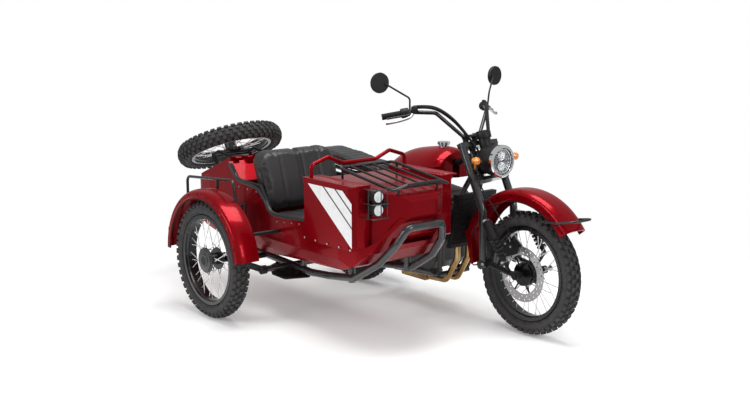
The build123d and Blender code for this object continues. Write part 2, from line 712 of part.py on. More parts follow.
# Fuel tank over the backbone. The columns are place, half width, base, widest and top height shares
tank_half = 148
tank_shares = ((0.245, 0.42, 0.955, 0.965, 0.985), (0.30, 0.68, 0.955, 0.985, 1.055),
               (0.38, 0.88, 0.952, 1.01, 1.12), (0.5, 1.0, 0.945, 1.03, 1.16),
               (0.575, 0.98, 0.945, 1.04, 1.162), (0.606, 0.82, 0.955, 1.05, 1.135))
with BuildPart() as tank:
    for x_share, half_share, base_share, wide_share, top_share in tank_shares:
        half = tank_half * half_share
        with BuildSketch(Plane(origin=on_bike(x_share, 0, 0), x_dir=(0, 1, 0), z_dir=(1, 0, 0))):
            base, wide, top = (share * seat_height for share in (base_share, wide_share, top_share))
            with BuildLine():
                Line((-half * 0.9, base), (half * 0.9, base))
                Line((half * 0.9, base), (half, wide))
                ThreePointArc((half, wide), (0, top), (-half, wide))
                Line((-half, wide), (-half * 0.9, base))
            make_face()
    loft()
    tunnel_half = spine_tube * 1.3
    slab(flat([on_bike(0.2, 0, 0.9), on_bike(0.66, 0, 0.9), on_bike(0.66, 0, 1.125), on_bike(0.56, 0, 1.055),
               on_bike(0.2, 0, 0.935)]), bike_plane, tunnel_half, mode=Mode.SUBTRACT)
save(tank, "fuel_tank")

cap_radius = 36
with BuildPart() as fuel_cap:
    rod(on_bike(0.535, 0, 1.14), on_bike(0.535, 0, 1.18), cap_radius * 0.8)
    rod(on_bike(0.535, 0, 1.178), on_bike(0.535, 0, 1.197), cap_radius)
    add(tank.part, mode=Mode.SUBTRACT)
save(fuel_cap, "fuel_cap")

saddle_half = 126
with BuildPart() as saddle:
    slab(flat([on_bike(0.225, 0, 0.885), on_bike(0.0, 0, 0.897), on_bike(-0.236, 0, 0.936),
               on_bike(-0.24, 0, 1.0), on_bike(-0.21, 0, 1.018), on_bike(-0.05, 0, 1.0),
               on_bike(0.08, 0, 0.968), on_bike(0.18, 0, 0.958), on_bike(0.225, 0, 0.966),
               on_bike(0.24, 0, 0.93)]), bike_plane, saddle_half, frame_tube * 0.8)
    fillet(edges().filter_by(GeomType.LINE, reverse=True).group_by(Axis.Z)[-1], frame_tube * 0.5)
    add(frame.part, mode=Mode.SUBTRACT)
save(saddle, "saddle")

cover_wall = 6
with BuildPart() as side_covers:
    for side in (-1, 1):
        inner = side * (cradle_half + cover_wall / 2 + gap * 2)
        slab(flat([on_bike(0.05, 0, 0.63), on_bike(0.12, 0, 0.6), on_bike(0.138, 0, 0.64),
                   on_bike(0.132, 0, 0.85), on_bike(0.045, 0, 0.85)]),
             Plane(origin=(0, bike_y + inner, 0), x_dir=(1, 0, 0), z_dir=(0, -1, 0)),
             cover_wall / 2, frame_tube)
        rod(on_bike(0.09, side * rail_half, 0.76), on_bike(0.09, inner, 0.76), frame_tube * 0.4)
    add(frame.part, mode=Mode.SUBTRACT)
save(side_covers, "side_covers")

# Rear fender on the seat rails, with the tail lamp and a plate bracket behind
rear_fender_half = 70
rear_fender_radius = 357
with BuildPart() as rear_fender:
    arched(fender_section(rear_fender_radius, rear_fender_half, fender_wall, fender_lip * 0.6),
           rear_axle, 38, 152)
    for x_share, low_share, high_share in ((-0.12, 0.776, 0.892), (0.06, 0.823, 0.88)):
        rod(*pair(x_share, rail_half + fender_wall, low_share), fender_wall * 1.2)
        for side in (-1, 1):
            rod(on_bike(x_share, side * rail_half, low_share), on_bike(x_share, side * rail_half, high_share),
                fender_wall)
    with BuildSketch(Plane(origin=rear_axle, x_dir=(1, 0, 0), z_dir=(0, -1, 0))) as inside:
        Circle((rear_fender_radius + tyre_radius) / 2)
    extrude(inside.sketch, amount=rail_half * 0.72, both=True, mode=Mode.SUBTRACT)
    add(frame.part, mode=Mode.SUBTRACT)
save(rear_fender, "rear_fender")

plate_width, plate_height, plate_wall = 190, 130, 3
plate_hole, plate_spacing = 3.5, 120
with BuildPart() as tail_lamp:
    place = on_bike(-0.232, 0, 0.8)
    rod(place + Vector(cap_radius, 0, 0), place - Vector(cap_radius * 0.9, 0, 0), cap_radius * 1.1)
    plate = on_bike(-0.275, 0, 0.66)
    with BuildSketch(Plane(origin=plate, x_dir=(0, 1, 0), z_dir=(-1, 0, 0))):
        RectangleRounded(plate_width, plate_height, plate_wall * 3)
        with GridLocations(plate_spacing, plate_height, 2, 1):
            Circle(plate_hole, mode=Mode.SUBTRACT)
    extrude(amount=plate_wall)
    for side in (-1, 1):
        rod(on_bike(-0.275, side * cap_radius * 0.6, 0.66), on_bike(-0.22, side * cap_radius * 0.6, 0.72),
            plate_wall)
        rod(on_bike(-0.275, side * cap_radius * 0.6, 0.7), place + Vector(0, side * cap_radius * 0.6, 0),
            plate_wall * 2)
    add(rear_fender.part, mode=Mode.SUBTRACT)
save(tail_lamp, "tail_lamp")

# Swing arm, rear shocks, chain and foot pegs
arm_half = 90
arm_radius = 14
with BuildPart() as swing_arm:
    for side in (-1, 1):
        rod(aside(arm_pivot, side * arm_half), aside(rear_axle, side * arm_half), arm_radius)
        rod(aside(arm_pivot, side * (arm_half - arm_radius)),
            aside(arm_pivot, side * (arm_half + arm_radius * 1.15)), frame_tube * 1.7)
        rod(aside(rear_axle, side * (arm_half - arm_radius * 1.1)),
            aside(rear_axle, side * (arm_half + arm_radius * 1.1)), arm_radius * 1.65)
        rod(aside(shock_foot, side * (rear_shock_half + frame_tube)),
            aside(on_bike(0.0, 0, 0.44), side * arm_half), arm_radius * 0.7)
    rod(aside(rear_axle, -arm_half), aside(rear_axle, arm_half), axle_radius)
    for side, near in ((-1, disc_y + disc_half + gap * 8), (1, sprocket_y + sprocket_half + gap * 8)):
        rod(aside(rear_axle, side * near), aside(rear_axle, side * arm_half), axle_radius * 1.5)
    add(frame.part, mode=Mode.SUBTRACT)
save(swing_arm, "swing_arm")

with BuildPart() as rear_shocks:
    for side in (-1, 1):
        make_shock(aside(shock_foot, side * rear_shock_half), aside(shock_top, side * rear_shock_half),
                   shock_body, shock_spring, 0.3, 7)
    add(swing_arm.part, mode=Mode.SUBTRACT)
    add(frame.part, mode=Mode.SUBTRACT)
    add(muffler.part, mode=Mode.SUBTRACT)
save(rear_shocks, "rear_shocks")

chain_wall = 6
chain_half = 7
chain_gap = 0.6


def chain_outline(extra):
    """Sketches the loop round both sprockets, grown by a margin."""
    plane = Plane(origin=(0, bike_y + chain_y, 0), x_dir=(1, 0, 0), z_dir=(0, -1, 0))
    with BuildSketch(plane) as loop:
        with Locations((rear_axle.X, rear_axle.Z)):
            Circle(sprocket_radius + extra)
        with Locations((front_sprocket.X, front_sprocket.Z)):
            Circle(front_sprocket_radius + extra)
        make_hull(loop.edges())
    return loop.sketch


with BuildPart() as chain:
    extrude(chain_outline(chain_gap + chain_wall), amount=chain_half, both=True)
    extrude(chain_outline(chain_gap), amount=chain_half * 2, both=True, mode=Mode.SUBTRACT)
    rod(aside(front_sprocket, -sprocket_half), aside(front_sprocket, sprocket_half), front_sprocket_radius)
    add(engine.part, mode=Mode.SUBTRACT)
save(chain, "chain")

peg_radius = 12
peg_length = 96
with BuildPart() as pegs:
    for side in (-1, 1):
        out = side * (cradle_half + frame_tube + peg_length)
        tube([on_bike(0.36, side * cradle_half, cradle_share),
              on_bike(0.36, side * (cradle_half + peg_radius * 2), 0.3),
              on_bike(0.36, side * (cradle_half + peg_radius * 2), 0.375)], peg_radius * 0.7, peg_radius)
        rod(on_bike(0.36, side * (cradle_half + frame_tube), 0.375), on_bike(0.36, out, 0.375), peg_radius)
    add(frame.part, mode=Mode.SUBTRACT)
    add(engine.part, mode=Mode.SUBTRACT)
save(pegs, "foot_pegs")

# Sidecar body. The columns of these tables are shares of the hull's length and height
tail_shares = ((0.0, 0.742), (0.028, 0.795))
cockpit_shares = ((0.243, 0.98), (0.294, 0.861), (0.423, 0.851), (0.481, 0.688), (0.685, 0.719))
ridge_shares = ((0.689, 0.612), (0.906, 0.618), (0.95, 0.682), (0.981, 0.812))
bow_shares = ((0.989, 0.8), (0.961, 0.706), (0.922, 0.588), (0.878, 0.506), (0.822, 0.461))
floor_shares = ((0.622, 0.438), (0.452, 0.412), (0.183, 0.429), (0.083, 0.494), (0.022, 0.635))
# Shares of the hull's length and half width, seen from above
plan_shares = ((0, 0.75), (0.05, 0.97), (0.12, 1), (0.82, 1), (0.9, 0.93), (0.955, 0.7), (0.99, 0.36))
# Shares of the hull's half width and height, seen from ahead
chine_shares = ((0.8, 0.4), (0.92, 0.46), (1, 0.53), (1, 1.1))
bulkhead_share = 0.3
hood_half_share = 0.77
hood_plan_shares = ((0.689, 0.77), (0.9, 0.77), (0.955, 0.62), (0.995, 0.3))
hood_top_shares = ((0.999, 0.83), (0.999, 0.872), (0.994, 0.905), (0.983, 0.93), (0.966, 0.948),
                   (0.94, 0.959), (0.9, 0.967), (0.689, 0.982))
corner_radius = 110


def side_view(shares, inset=0):
    """Sketches an outline of length and height shares in the sidecar's middle plane."""
    with BuildSketch(car_plane) as view:
        with BuildLine():
            Polyline(*flat([on_car(x_share, 0, z_share) for x_share, z_share in shares]), close=True)
        make_face()
        if inset:
            offset(amount=-inset, kind=Kind.INTERSECTION)
    return view.sketch


def plan_view(shares, inset=0, corner=0):
    """Sketches a mirrored outline of length and half-width shares, seen from above."""
    right = [on_car(x_share, -side_share, 0) for x_share, side_share in shares]
    left = [on_car(x_share, side_share, 0) for x_share, side_share in reversed(shares)]
    with BuildSketch(Plane.XY) as view:
        with BuildLine():
            Polyline(*[(place.X, place.Y) for place in (*right, *left)], close=True)
        make_face()
        if corner:
            fillet([v for v in view.vertices() if v.X > car_front or v.X < car_back], corner)
        if inset:
            offset(amount=-inset, kind=Kind.INTERSECTION)
    return view.sketch


def front_view(shares, inset=0):
    """Sketches a mirrored outline of half-width and height shares, seen from ahead."""
    right = [(car_y - side_share * hull_half, z_share * hull_height) for side_share, z_share in shares]
    left = [(2 * car_y - y, z) for y, z in reversed(right)]
    with BuildSketch(Plane(origin=(0, 0, 0), x_dir=(0, 1, 0), z_dir=(1, 0, 0))) as view:
        with BuildLine():
            Polyline(*right, *left, close=True)
        make_face()
        if inset:
            offset(amount=-inset, kind=Kind.INTERSECTION)
    return view.sketch


car_front, car_back = on_car(0.85, 0, 0).X, on_car(0.06, 0, 0).X
hull_shares = (*tail_shares, *cockpit_shares, *ridge_shares, *bow_shares, *floor_shares)


def hull_form(inset):
    """Adds the hull's outer form, or one a wall's thickness inside it."""
    extrude(side_view(hull_shares, inset), amount=hull_half * 1.5, both=True)
    extrude(plan_view(plan_shares, inset, corner_radius), amount=hull_height * 1.3, mode=Mode.INTERSECT)
    extrude(front_view(chine_shares, inset), amount=hull_length, both=True, mode=Mode.INTERSECT)


with BuildPart() as hull_inside:
    hull_form(wall)
    inner_half = hull_half - wall
    lift = Vector(0, 0, wall * 6)
    rim_line = [on_car(bulkhead_share + 0.004, 0, 0.861), *[on_car(x, 0, z) for x, z in cockpit_shares[2:]]]
    band = [*[place + lift for place in rim_line], *[place - lift * 0.5 for place in reversed(rim_line)]]
    slab(flat(band), car_plane, inner_half)
    ridge_line = [on_car(x, 0, z) for x, z in ((0.684, 0.62), (0.906, 0.618), (0.945, 0.674), (0.966, 0.74))]
    band = [*[place + lift * 2 for place in ridge_line],
            *[place - lift * 0.4 for place in reversed(ridge_line)]]
    slab(flat(band), car_plane, hull_half * hood_half_share * 0.62)
    slab(flat(band[:2] + band[-2:]), car_plane, hull_half * hood_half_share - wall)
    slab(flat([on_car(bulkhead_share, 0, 0.3), on_car(bulkhead_share, 0, 1),
               on_car(bulkhead_share, 0, 1) - Vector(wall, 0, 0),
               on_car(bulkhead_share, 0, 0.3) - Vector(wall, 0, 0)]), car_plane, hull_half,
         mode=Mode.SUBTRACT)

# The boot's opening under its lid, and the lid's hinge
boot_front_share, boot_back_share, boot_half_share = 0.215, 0.05, 0.82
roof_slope = (0.98 - 0.795) / (0.243 - 0.028)
hinge_radius = 8
lid_hinge = on_car(0.25, 0, 0.998)


def roof(x_share):
    """The height share of the boot's roof at a length share."""
    return 0.795 + (x_share - 0.028) * roof_slope


with BuildPart() as tub:
    hull_form(0)
    add(hull_inside.part, mode=Mode.SUBTRACT)
    slab(flat([on_car(boot_back_share, 0, roof(boot_back_share) + 0.05),
               on_car(boot_front_share, 0, roof(boot_front_share) + 0.05),
               on_car(boot_front_share, 0, roof(boot_front_share) - 0.04),
               on_car(boot_back_share, 0, roof(boot_back_share) - 0.04)]),
         car_plane, hull_half * boot_half_share, mode=Mode.SUBTRACT)
    for share in (-0.55, 0.55):
        rod(lid_hinge + Vector(0, hull_half * (share - 0.06), 0),
            lid_hinge + Vector(0, hull_half * (share + 0.06), 0), hinge_radius)
        leaf = Plane(origin=(0, car_y + hull_half * share, 0), x_dir=(1, 0, 0), z_dir=(0, -1, 0))
        slab([(lid_hinge.X - hinge_radius * 0.1, lid_hinge.Z), (lid_hinge.X + hinge_radius, lid_hinge.Z),
              (lid_hinge.X + hinge_radius, lid_hinge.Z - hinge_radius * 4.5),
              (lid_hinge.X - hinge_radius * 0.1, lid_hinge.Z - hinge_radius * 4.5)],
             leaf, hull_half * 0.06)
save(tub, "hull")

lid_share = 0.031
with BuildPart() as lid:
    slab(flat([on_car(0.0285, 0, roof(0.0285) + 0.001), on_car(0.24, 0, roof(0.24) + 0.001),
               on_car(0.24, 0, roof(0.24) + lid_share), on_car(0.034, 0, roof(0.034) + lid_share),
               on_car(0.0285, 0, roof(0.0285) + lid_share * 0.8)]), car_plane, hull_half * 0.95)
    extrude(plan_view(plan_shares, wall / 2, corner_radius), amount=hull_height * 1.3, mode=Mode.INTERSECT)
    slab(flat([on_car(0.048, 0, roof(0.048) + lid_share * 0.75),
               on_car(0.225, 0, roof(0.225) + lid_share * 0.75),
               on_car(0.225, 0, roof(0.225) + lid_share * 1.5),
               on_car(0.048, 0, roof(0.048) + lid_share * 1.5)]),
         car_plane, hull_half * 0.86, mode=Mode.SUBTRACT)
    for share in (-0.8, -0.3, 0.3, 0.8):
        rod(lid_hinge + Vector(0, hull_half * (share - 0.06), 0),
            lid_hinge + Vector(0, hull_half * (share + 0.06), 0), hinge_radius)
        leaf = Plane(origin=(0, car_y + hull_half * share, 0), x_dir=(1, 0, 0), z_dir=(0, -1, 0))
        slab([(lid_hinge.X, lid_hinge.Z), (lid_hinge.X, lid_hinge.Z + hinge_radius),
              (lid_hinge.X - hinge_radius * 4, lid_hinge.Z + hinge_radius),
              (lid_hinge.X - hinge_radius * 4, lid_hinge.Z)], leaf, hull_half * 0.06)
    add(tub.part, mode=Mode.SUBTRACT)
save(lid, "boot_lid")

# Spare wheel on a carrier above the lid
spare_tilt = 25
spare_centre = on_car(-0.022, 0, 1.0)
spare_up = Vector(-sin(radians(spare_tilt)), 0, cos(radians(spare_tilt)))
spare_plane = Plane(origin=spare_centre, x_dir=(cos(radians(spare_tilt)), 0, sin(radians(spare_tilt))),
                    z_dir=(0, -1, 0))
carrier_plate = 62
carrier_wall = 6
carrier_radius = 12
with BuildPart() as carrier:
    seat = spare_centre - spare_up * (hub_half + gap)
    rod(seat - spare_up * carrier_wall, seat, carrier_plate)
    rod(seat, spare_centre + spare_up * (hub_half + carrier_wall * 3), axle_radius)
    rod(spare_centre + spare_up * (hub_half + gap), spare_centre + spare_up * (hub_half + carrier_wall * 2),
        axle_radius * 2.2)
    for side_share in (-0.42, 0.42):
        side = side_share * hull_half
        tube([on_car(0.05, side_share, roof(0.05) + 0.02),
              seat - spare_up * carrier_radius + Vector(-carrier_plate * 0.4, side, -carrier_plate * 0.18),
              seat - spare_up * carrier_radius + Vector(carrier_plate * 0.9, side, carrier_plate * 0.42),
              on_car(0.17, side_share, roof(0.17) + 0.02)], carrier_radius, carrier_radius * 2.5)
    for along in (-0.3, 0.45):
        place = seat - spare_up * carrier_radius + Vector(carrier_plate * along,
                                                          0, carrier_plate * along * 0.46)
        rod(place - Vector(0, 0.42 * hull_half, 0), place + Vector(0, 0.42 * hull_half, 0), carrier_radius)
    add(lid.part, mode=Mode.SUBTRACT)
save(carrier, "spare_carrier")

with BuildPart() as tyre_form:
    make_tyre(Vector(0, 0, 0))
with BuildPart() as rim_form:
    make_rim(Vector(0, 0, 0))
for form, name in ((tyre_form, "spare_tyre"), (rim_form, "spare_rim"), (hub_form, "spare_hub")):
    with BuildPart() as spare:
        with Locations(spare_plane):
            add(form.part)
    save(spare, name)

# Cowl: the hood with its nose, and the flat boxes on both its sides
hood_shares = (*ridge_shares, (0.991, 0.8), *hood_top_shares)


def hood_form(inset):
    """Adds the hood's outer form, or one a wall's thickness inside it."""
    extrude(side_view(hood_shares, inset), amount=hull_half * 1.5, both=True)
    extrude(plan_view(hood_plan_shares, inset, corner_radius * 0.6), amount=hull_height * 1.3,
            mode=Mode.INTERSECT)


with BuildPart() as hood_inside:
    hood_form(wall)
    slab(flat([on_car(0.67, 0, 0.5), on_car(0.9, 0, 0.5), on_car(0.9, 0, 0.92), on_car(0.67, 0, 0.95)]),
         car_plane, hull_half * hood_half_share - wall)

with BuildPart() as hood:
    hood_form(0)
    add(hood_inside.part, mode=Mode.SUBTRACT)
    add(tub.part, mode=Mode.SUBTRACT)
save(hood, "cowl")

box_inner_share, box_outer_share = 0.775, 1.135
lid_line_share = 0.97
box_bevel = 34
with BuildPart() as boxes:
    for side in (-1, 1):
        middle = side * (box_inner_share + box_outer_share) / 2 * hull_half
        half = (box_outer_share - box_inner_share) / 2 * hull_half
        plane = Plane(origin=(0, car_y + middle, 0), x_dir=(1, 0, 0), z_dir=(0, -1, 0))
        slab(flat([on_car(0.689, 0, 0.612), on_car(0.906, 0, 0.618), on_car(0.914, 0, 0.63),
                   on_car(0.914, 0, lid_line_share), on_car(0.689, 0, lid_line_share)]), plane, half)
        slab(flat([on_car(0.687, 0, lid_line_share), on_car(0.916, 0, lid_line_share),
                   on_car(0.916, 0, lid_line_share + 0.03), on_car(0.687, 0, lid_line_share + 0.024)]),
             plane, half + wall * 0.2)
    upright = edges().filter_by(Axis.Z).group_by(Axis.X)[-2:]
    bevelled = [e for group in upright for e in group
                if abs(e.center().Y - car_y) > hull_half]
    chamfer(bevelled, box_bevel)
    add(hood.part, mode=Mode.SUBTRACT)
save(boxes, "cowl_boxes")

# Rubber edging round the cockpit
trim_height = 15
with BuildPart() as trim:
    for side in (-1, 1):
        middle = side * (hull_half - wall / 2)
        plane = Plane(origin=(0, car_y + middle, 0), x_dir=(1, 0, 0), z_dir=(0, -1, 0))
        low = [on_car(x, 0, z) for x, z in (*cockpit_shares, (0.686, 0.719))]
        low[0] = on_car(0.256, 0, 0.95)
        high = [place + Vector(0, 0, trim_height) for place in low]
        slab(flat([*low[:-1], *reversed(high[:-1])]), plane, wall * 0.8)
    add(tub.part, mode=Mode.SUBTRACT)
save(trim, "cockpit_trim")

# Seat
seat_half_share = 0.82
with BuildPart() as seat_base:
    slab(flat([on_car(0.385, 0, 0.425), on_car(0.452, 0, 0.42), on_car(0.57, 0, 0.44),
               on_car(0.575, 0, 0.6), on_car(0.605, 0, 0.62), on_car(0.605, 0, 0.68),
               on_car(0.58, 0, 0.7), on_car(0.44, 0, 0.672), on_car(0.385, 0, 0.66)]),
         car_plane, hull_half * seat_half_share)
    add(tub.part, mode=Mode.SUBTRACT)
save(seat_base, "seat_base")

with BuildPart() as seat_back:
    slab(flat([on_car(0.385, 0, 0.664), on_car(0.437, 0, 0.675), on_car(0.437, 0, 0.71),
               on_car(0.385, 0, 1.06), on_car(0.372, 0, 1.085), on_car(0.336, 0, 1.09),
               on_car(0.325, 0, 1.065)]), car_plane, hull_half * 0.9)
    with BuildSketch(Plane(origin=(0, car_y, 0), x_dir=(0, 1, 0), z_dir=(1, 0, 0))) as shape:
        with Locations((0, 0.87 * hull_height)):
            RectangleRounded(hull_half * 1.8, hull_height * 0.44, hull_half * 0.34)
    extrude(shape.sketch, amount=hull_length, both=True, mode=Mode.INTERSECT)
save(seat_back, "seat_back")

# Grab rail and luggage rack over the cowl
rail_radius = 10.5
with BuildPart() as grab_rail:
    right = [(0.702, -1.03, 0.99), (0.702, -1.03, 1.072), (0.702, -0.68, 1.112), (0.702, -0.36, 1.065)]
    places = [on_car(*shares) for shares in right]
    places += [on_car(x, -side, z) for x, side, z in reversed(right)]
    tube(places, rail_radius, rail_radius * 2.4)
    add(boxes.part, mode=Mode.SUBTRACT)
save(grab_rail, "grab_rail")

rack_radius = 8
rack_rear_share, rack_front_share = (0.7385, 1.05), (0.984, 0.978)


def on_rack(along, side_share):
    """A place in the rack's plane: a share of its length, and a side share."""
    x_share = rack_rear_share[0] + (rack_front_share[0] - rack_rear_share[0]) * along
    z_share = rack_rear_share[1] + (rack_front_share[1] - rack_rear_share[1]) * along
    return on_car(x_share, side_share, z_share)


with BuildPart() as rack:
    rise = Vector(0, 0, rack_radius * 3)
    tube([on_rack(0.5, -0.6), on_rack(0, -0.6), on_rack(0, 0.6), on_rack(0.5, 0.6)], rack_radius,
         rack_radius * 3)
    tube([on_rack(0.5, -0.6), on_rack(1, -0.6), on_rack(1.02, -0.36) + rise, on_rack(1.02, 0.36) + rise,
          on_rack(1, 0.6), on_rack(0.5, 0.6)], rack_radius, rack_radius * 3)
    rod(on_rack(0.93, -0.6), on_rack(0.93, 0.6), rack_radius * 0.9)
    for side_share in (-0.36, -0.12, 0.12, 0.36):
        rod(on_rack(0, side_share), on_rack(0.93, side_share), rack_radius * 0.7)
    for along, side_share in ((0.06, -0.6), (0.06, 0.6), (0.93, -0.42), (0.93, 0.42)):
        place = on_rack(along, side_share)
        rod(place, place - Vector(0, 0, rack_radius * 9), rack_radius * 0.8)
    add(hood_inside.part, mode=Mode.SUBTRACT)
    add(hood.part, mode=Mode.SUBTRACT)
    add(boxes.part, mode=Mode.SUBTRACT)
save(rack, "luggage_rack")

# Lamps on the cowl's right flank, with their wire guard
spot_radius = 32
spot_depth = 62
with BuildPart() as spots:
    for z_share in (0.94, 0.86):
        centre = on_car(0.944, -0.76, z_share)
        turned_forward([(-spot_depth, 0), (-spot_depth, spot_radius * 0.7), (-spot_depth * 0.3, spot_radius),
                        (0, spot_radius), (spot_radius * 0.2, spot_radius * 0.6), (spot_radius * 0.25, 0)],
                       centre)
        rod(centre - Vector(spot_depth * 0.5, 0, 0), centre - Vector(spot_depth * 1.2, 0, 0),
            spot_radius * 0.3)
    rod(on_car(0.935, -0.76, 0.94), on_car(0.935, -0.76, 0.86), spot_radius * 0.3)
    rod(on_car(0.94, -0.52, 0.9), on_car(0.965, -0.52, 0.9), spot_radius * 0.6)
    rod(on_car(0.952, -0.52, 0.9), on_car(0.935, -0.76, 0.9), spot_radius * 0.25)
    add(hood_inside.part, mode=Mode.SUBTRACT)
    add(hood.part, mode=Mode.SUBTRACT)
    add(boxes.part, mode=Mode.SUBTRACT)
save(spots, "spot_lamps")

guard_radius = 3
with BuildPart() as guard:
    for z_share in (0.985, 0.9, 0.815):
        tube([on_car(0.91, -0.92, z_share), on_car(0.962, -0.92, z_share), on_car(0.962, -0.6, z_share)],
             guard_radius, guard_radius * 4)
    rod(on_car(0.94, -0.92, 0.987), on_car(0.94, -0.92, 0.813), guard_radius * 0.9)
    rod(on_car(0.962, -0.76, 0.987), on_car(0.962, -0.76, 0.813), guard_radius * 0.9)
    rod(on_car(0.962, -0.63, 0.987), on_car(0.962, -0.63, 0.813), guard_radius * 0.9)
    for other in (hood_inside, hood, boxes, spots, rack):
        add(other.part, mode=Mode.SUBTRACT)
save(guard, "lamp_guard")

# Sidecar chassis: two long tubes that rise ahead of the nose into a bumper loop, cross tubes and struts
chassis_tube = 20
post_share = 0.36
loop_shares = ((0.13, 0.62, 0.385), (0.607, 0.65, 0.343), (0.698, 0.65, 0.36), (0.818, 0.65, 0.394),
               (0.917, 0.6, 0.52), (0.975, 0.5, 0.652), (0.997, 0.38, 0.753))
with BuildPart() as chassis:
    right = [on_car(x, -side, z) for x, side, z in loop_shares]
    left = [on_car(x, side, z) for x, side, z in reversed(loop_shares)]
    tube([*right, *left], chassis_tube, chassis_tube * 2)
    for x_share, low_share, high_share, z_share in ((0.17, -0.7, 0.7, 0.382), (post_share, -1.15, 0.7, 0.363),
                                                    (0.5, -1.2, 0.7, 0.35)):
        rod(on_car(x_share, low_share, z_share), on_car(x_share, high_share, z_share), chassis_tube * 0.85)
    rod(on_car(post_share, -1.12, 0.363), on_car(post_share, -1.12, 0.73), chassis_tube * 0.7)
    for x_share in (0.22, 0.56, 0.8):
        for side_share in (-0.62, 0.62):
            rod(on_car(x_share, side_share, 0.36), on_car(x_share, side_share, 0.462), chassis_tube * 0.9)
    for start, end, radius in (
        (on_car(0.74, 0.65, 0.365), on_bike(0.57, -cradle_half, cradle_share), 0.9),
        (on_car(0.42, 0.65, 0.36), on_bike(0.3, -cradle_half, cradle_share), 0.9),
        (on_car(0.35, 0.65, 0.366), on_bike(0.155, -rail_half, 0.79), 0.72),
    ):
        rod(start, end, chassis_tube * radius)
    tube([on_car(0.79, 0.6, 0.383), on_car(0.79, 1.12, 0.4), on_bike(0.7, -cradle_half * 0.45, 0.93)],
         chassis_tube * 0.72, chassis_tube * 1.5)
    for other in (hull_inside, tub, frame, engine, boxes, hood, radiator, pegs, swing_arm, exhaust):
        add(other.part, mode=Mode.SUBTRACT)
save(chassis, "side_chassis")

# Side wheel: trailing arm with its stub axle, and a damper to the post
stub_y = 62
with BuildPart() as suspension:
    pivot = on_car(0.5, -1.26, 0.35)
    knuckle = aside(side_axle, stub_y + arm_radius)
    rod(pivot - Vector(0, chassis_tube * 0.8, 0),
        pivot + Vector(0, chassis_tube * 0.8, 0), chassis_tube * 1.2)
    rod(pivot, knuckle, chassis_tube * 0.9)
    rod(aside(side_axle, stub_y), aside(side_axle, stub_y + arm_radius * 2), chassis_tube * 1.4)
    rod(aside(side_axle, -hub_half - arm_radius), aside(side_axle, stub_y), axle_radius)
    rod(aside(side_axle, -hub_half - arm_radius), aside(side_axle, -hub_half - gap * 8), axle_radius * 2.6)
    rod(aside(side_axle, hub_half + gap * 8), aside(side_axle, stub_y + gap), axle_radius * 1.6)
    low, high = on_car(0.385, -1.42, 0.4), on_car(post_share, -1.3, 0.72)
    make_shock(low, high, shock_body, shock_spring, 0.3, 7)
    rod(high, on_car(post_share, -1.12, 0.72), arm_radius * 0.7)
    rod(low, low - Vector(0, 0, chassis_tube * 1.6), arm_radius)
    add(chassis.part, mode=Mode.SUBTRACT)
save(suspension, "side_suspension")

# Side fender with its stays, hand rail and tail lamp
side_fender_radius = 396
side_fender_half = 68
with BuildPart() as side_fender:
    arched(fender_section(side_fender_radius, side_fender_half, fender_wall, fender_lip * 0.8),
           side_axle, 8, 170)
    inner = side_fender_half - fender_wall
    rod(aside(side_axle + Vector(0, 0, side_fender_radius - fender_lip * 0.5), inner),
        on_car(post_share, -1.12, 0.7), fender_wall * 2)
    for angle in (30, 145):
        out = Vector(cos(radians(angle)), 0, sin(radians(angle)))
        place = aside(side_axle + out * (side_fender_radius - fender_lip * 0.5), inner)
        rod(place, Vector(place.X, car_y - hull_half * 0.97, place.Z), fender_wall * 2)
    add(chassis.part, mode=Mode.SUBTRACT)
    add(suspension.part, mode=Mode.SUBTRACT)
    add(hull_inside.part, mode=Mode.SUBTRACT)
    add(tub.part, mode=Mode.SUBTRACT)
save(side_fender, "side_fender")

hand_rail_radius = 8
with BuildPart() as hand_rail:
    side = side_fender_half * 0.7
    top = side_fender_radius + tyre_radius
    tube([aside(side_axle + Vector(-tyre_radius, 0, side_fender_radius * 0.5), side),
          Vector(side_axle_x - tyre_radius, side_y + side, top + hand_rail_radius * 3),
          Vector(side_axle_x + tyre_radius * 0.5, side_y + side, top + hand_rail_radius * 8),
          aside(side_axle + Vector(tyre_radius * 0.58, 0, side_fender_radius * 0.85), side)],
         hand_rail_radius, hand_rail_radius * 4)
    rod(Vector(side_axle_x, side_y + side, top - fender_lip),
        Vector(side_axle_x, side_y + side, top + hand_rail_radius * 6.2), hand_rail_radius)
    add(side_fender.part, mode=Mode.SUBTRACT)
    with BuildSketch(Plane(origin=side_axle, x_dir=(1, 0, 0), z_dir=(0, -1, 0))) as inside:
        Circle(side_fender_radius - fender_wall)
    extrude(inside.sketch, amount=side_fender_half * 2, both=True, mode=Mode.SUBTRACT)
save(hand_rail, "fender_rail")

fender_lamp_radius = 33
with BuildPart() as fender_lamp:
    place = side_axle + Vector(-side_fender_radius, 0, side_fender_radius * 0.26)
    rod(place, place - Vector(fender_lamp_radius * 1.1, 0, 0), fender_lamp_radius)
    add(side_fender.part, mode=Mode.SUBTRACT)
    with BuildSketch(Plane(origin=side_axle, x_dir=(1, 0, 0), z_dir=(0, -1, 0))) as inside:
        Circle(side_fender_radius - fender_wall)
    extrude(inside.sketch, amount=side_fender_half, both=True, mode=Mode.SUBTRACT)
save(fender_lamp, "fender_lamp")

